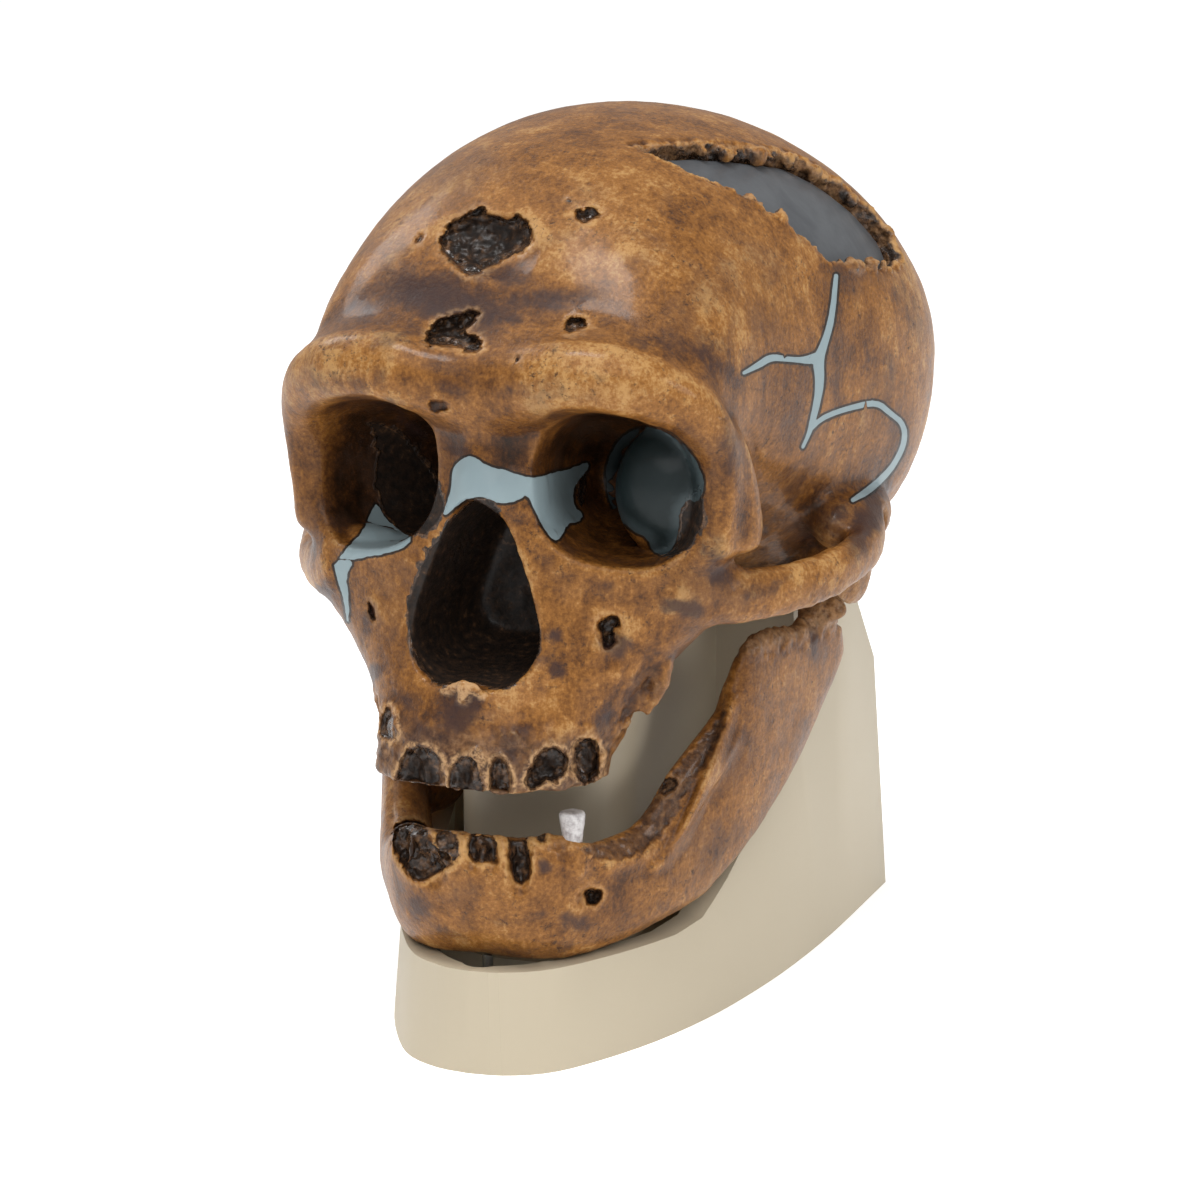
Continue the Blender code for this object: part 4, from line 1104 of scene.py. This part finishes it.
def mark_jaw(piece):
    """Store where the jaw is hollow, stained, torn and pale, and its painted shade and light; it has no
    repairs.
    """
    points, normals, edges, skull, seen = survey(piece, 1)
    _, y, z = skull.T
    hidden = OUT_OF_SIGHT * (1 - seen)
    hollow = np.full(len(points), -3.0)
    lips = np.zeros(len(points))
    for i, (outline, _) in enumerate(LOWER_SOCKETS):
        inside = outline_depth(points, outline, LOWER_SEED + i)
        hollow = np.maximum(hollow, (inside - 0.3 - hidden).clip(-3, 1.6))
        lips = np.maximum(lips, lip_of(inside) * 0.25 * seen)
    strip = ramp(outline_depth(points, JAW_INNER_STRIP, STRIP_SEED), -0.6, 1.5) * seen
    ramus_top = 0.6 * ramp(z + 31, 0, 4)
    crest = ramp(z + 74, 0, 8) * ramp(-84 - y, 0, 8)
    # Painted shade where the bone shuts itself in, and over the inner strip
    grime = averaged(shut_in(piece, points, normals), edges, 2)
    store(piece, "hollow", np.maximum(hollow, strip * 0.22))
    store(piece, "repair", np.full(len(points), -3.0))
    store(piece, "dim", np.zeros(len(points)))
    store(piece, "stain", np.maximum(stain_strength(points, JAW_STAINS) * 0.72 * seen, strip * 0.2))
    store(piece, "torn", np.maximum(strip * 0.35, ramus_top))
    store(piece, "pale", np.max([lips, 0.35 * crest, 0.5 * ramus_top], axis=0))
    # Painted shade in grooves and pits, painted light on ridges
    store(piece, "cavity", cavity_of(piece, points, normals))
    store(piece, "grime", np.maximum(ramp(grime, 0.3, 0.95), strip))


def make_window_floor():
    """Smooth slate-grey filling below the broken window."""
    piece = copy_of_nodes("window_floor", "vault_filler")
    skin(piece, FLOOR_VOXEL, 20)
    finish_piece(piece, filler_material("slate_filler", SLATE, (0.085, 0.090, 0.096), 0.38), "grey_filler",
                 "vault_filler")


def make_tooth():
    """The one tooth, slightly rough and trimmed toward its foot."""
    piece = copy_of_nodes("jaw_tooth", "tooth")
    skin(piece, TOOTH_VOXEL, 6)
    points, normals = read_points(piece), read_normals(piece)
    points = roughen(points, normals, 0.15, 2.0, 31)
    foot = np.append(points[:, :2].mean(axis=0), points[:, 2].min())
    write_points(piece, foot + (points - foot) * TOOTH_TRIM)
    finish_piece(piece, tooth_material(), "tooth_enamel", "tooth")


def make_plinth():
    """The casting with soft edges; the faces down in the tray take a greyer colour, made lighter as painted
    light against their shadow.
    """
    piece = copy_of_nodes("plinth_casting", "plinth")
    only(piece)
    bpy.ops.object.shade_smooth_by_angle(angle=math.radians(18))
    piece.data.materials.append(plinth_material("plinth_beige", PLINTH_BEIGE, (0.440, 0.378, 0.272)))
    # The tray faces: grey-green, with painted light lifting their shadow
    piece.data.materials.append(plinth_material("plinth_tray_painted_light", TRAY_GREY_PAINTED_LIGHT, (0.580, 0.570, 0.460)))
    tree = ray_tree(piece)
    for face in piece.data.polygons:
        hit = tree.ray_cast(face.center + face.normal * 0.0015, Vector((0, 0, -1)))
        over_tray = hit[0] is not None and abs(hit[0].z - TRAY_FLOOR_HEIGHT) < 0.001
        top = max(piece.data.vertices[i].co.z for i in face.vertices)
        face.material_index = 1 if over_tray and top < TRAY_WALL_TOP else 0
    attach(piece, "root")
    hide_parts("plinth")


def make_pins():
    """Steel material for the small pins under the jaw."""
    for node in sorted(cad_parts):
        if node.startswith("jaw_pin"):
            give(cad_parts[node], steel_material())


def finish_piece(piece, material, slot_name, *nodes):
    """Smooth shading, material, body and the nodes that the piece stands for; slot_name is not used."""
    only(piece)
    bpy.ops.object.shade_smooth()
    give(piece, material)
    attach(piece, "root")
    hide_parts(*nodes)


# Studio lights: name, place in metres, width of the disk, power in watts
STUDIO_LIGHTS = (
    ("top_light", (-0.05, -0.3, 1.5), 0.45, 9.5),
    ("side_light", (1.4, -0.1, 0.7), 0.5, 4.0),
    ("left_light", (-1.0, 0.4, 1.0), 0.5, 4.5),
)
SUN_STRENGTH = 1.1
SUN_SPREAD = math.radians(50)
SUN_FROM = (0.25, -0.8, 0.8)
SKY_STRENGTH = 0.44
FLOOR_SIZE = 600.0
FLOOR_GLOW = 0.42
FLOOR_WHITES = ((0.95, 0.95, 0.95), (0.93, 0.93, 0.93))
WHITE = (1.0, 1.0, 1.0, 1.0)


def make_studio():
    """Pale floor, soft lights and the photograph's camera."""
    bpy.ops.mesh.primitive_plane_add(size=FLOOR_SIZE, location=(0, 0, 0))
    floor = bpy.context.active_object
    floor.name = "studio_floor"
    shade = Shade("studio_floor")
    dust = shade.noise(400, 2, 0.5)
    give(floor, shade.finish(Base_Color=shade.mix(dust * 0.2, *FLOOR_WHITES), Roughness=0.7,
                             Emission_Color=WHITE, Emission_Strength=FLOOR_GLOW))

    world = bpy.data.worlds.new("studio_world")
    bpy.context.scene.world = world
    world.use_nodes = True
    sky = world.node_tree.nodes["Background"]
    sky.inputs["Color"].default_value = WHITE
    sky.inputs["Strength"].default_value = SKY_STRENGTH

    sun = bpy.data.lights.new("soft_sun", "SUN")
    sun.energy = SUN_STRENGTH
    sun.angle = SUN_SPREAD
    linked("soft_sun", sun).rotation_euler = Vector(SUN_FROM).to_track_quat("Z", "Y").to_euler()

    for name, place, size, watts in STUDIO_LIGHTS:
        lamp = bpy.data.lights.new(name, "AREA")
        lamp.shape = "DISK"
        lamp.size = size
        lamp.energy = watts
        obj = linked(name, lamp)
        obj.location = place
        obj.rotation_euler = (AIM - Vector(place)).to_track_quat("-Z", "Y").to_euler()

    camera_data = bpy.data.cameras.new("photo_camera")
    camera_data.lens = FOCAL_PIXELS / PHOTO_SIZE * SENSOR
    camera_data.sensor_width = SENSOR
    camera_data.clip_start = 0.05
    camera = linked("photo_camera", camera_data)
    camera.location = CAMERA_PLACE
    camera.rotation_euler = TO_CAMERA.to_track_quat("Z", "Y").to_euler()
    bpy.context.scene.camera = camera
    bpy.context.scene.view_settings.view_transform = "Standard"


make_cranium()
make_jaw()
make_window_floor()
make_tooth()
make_plinth()
make_pins()
make_studio()
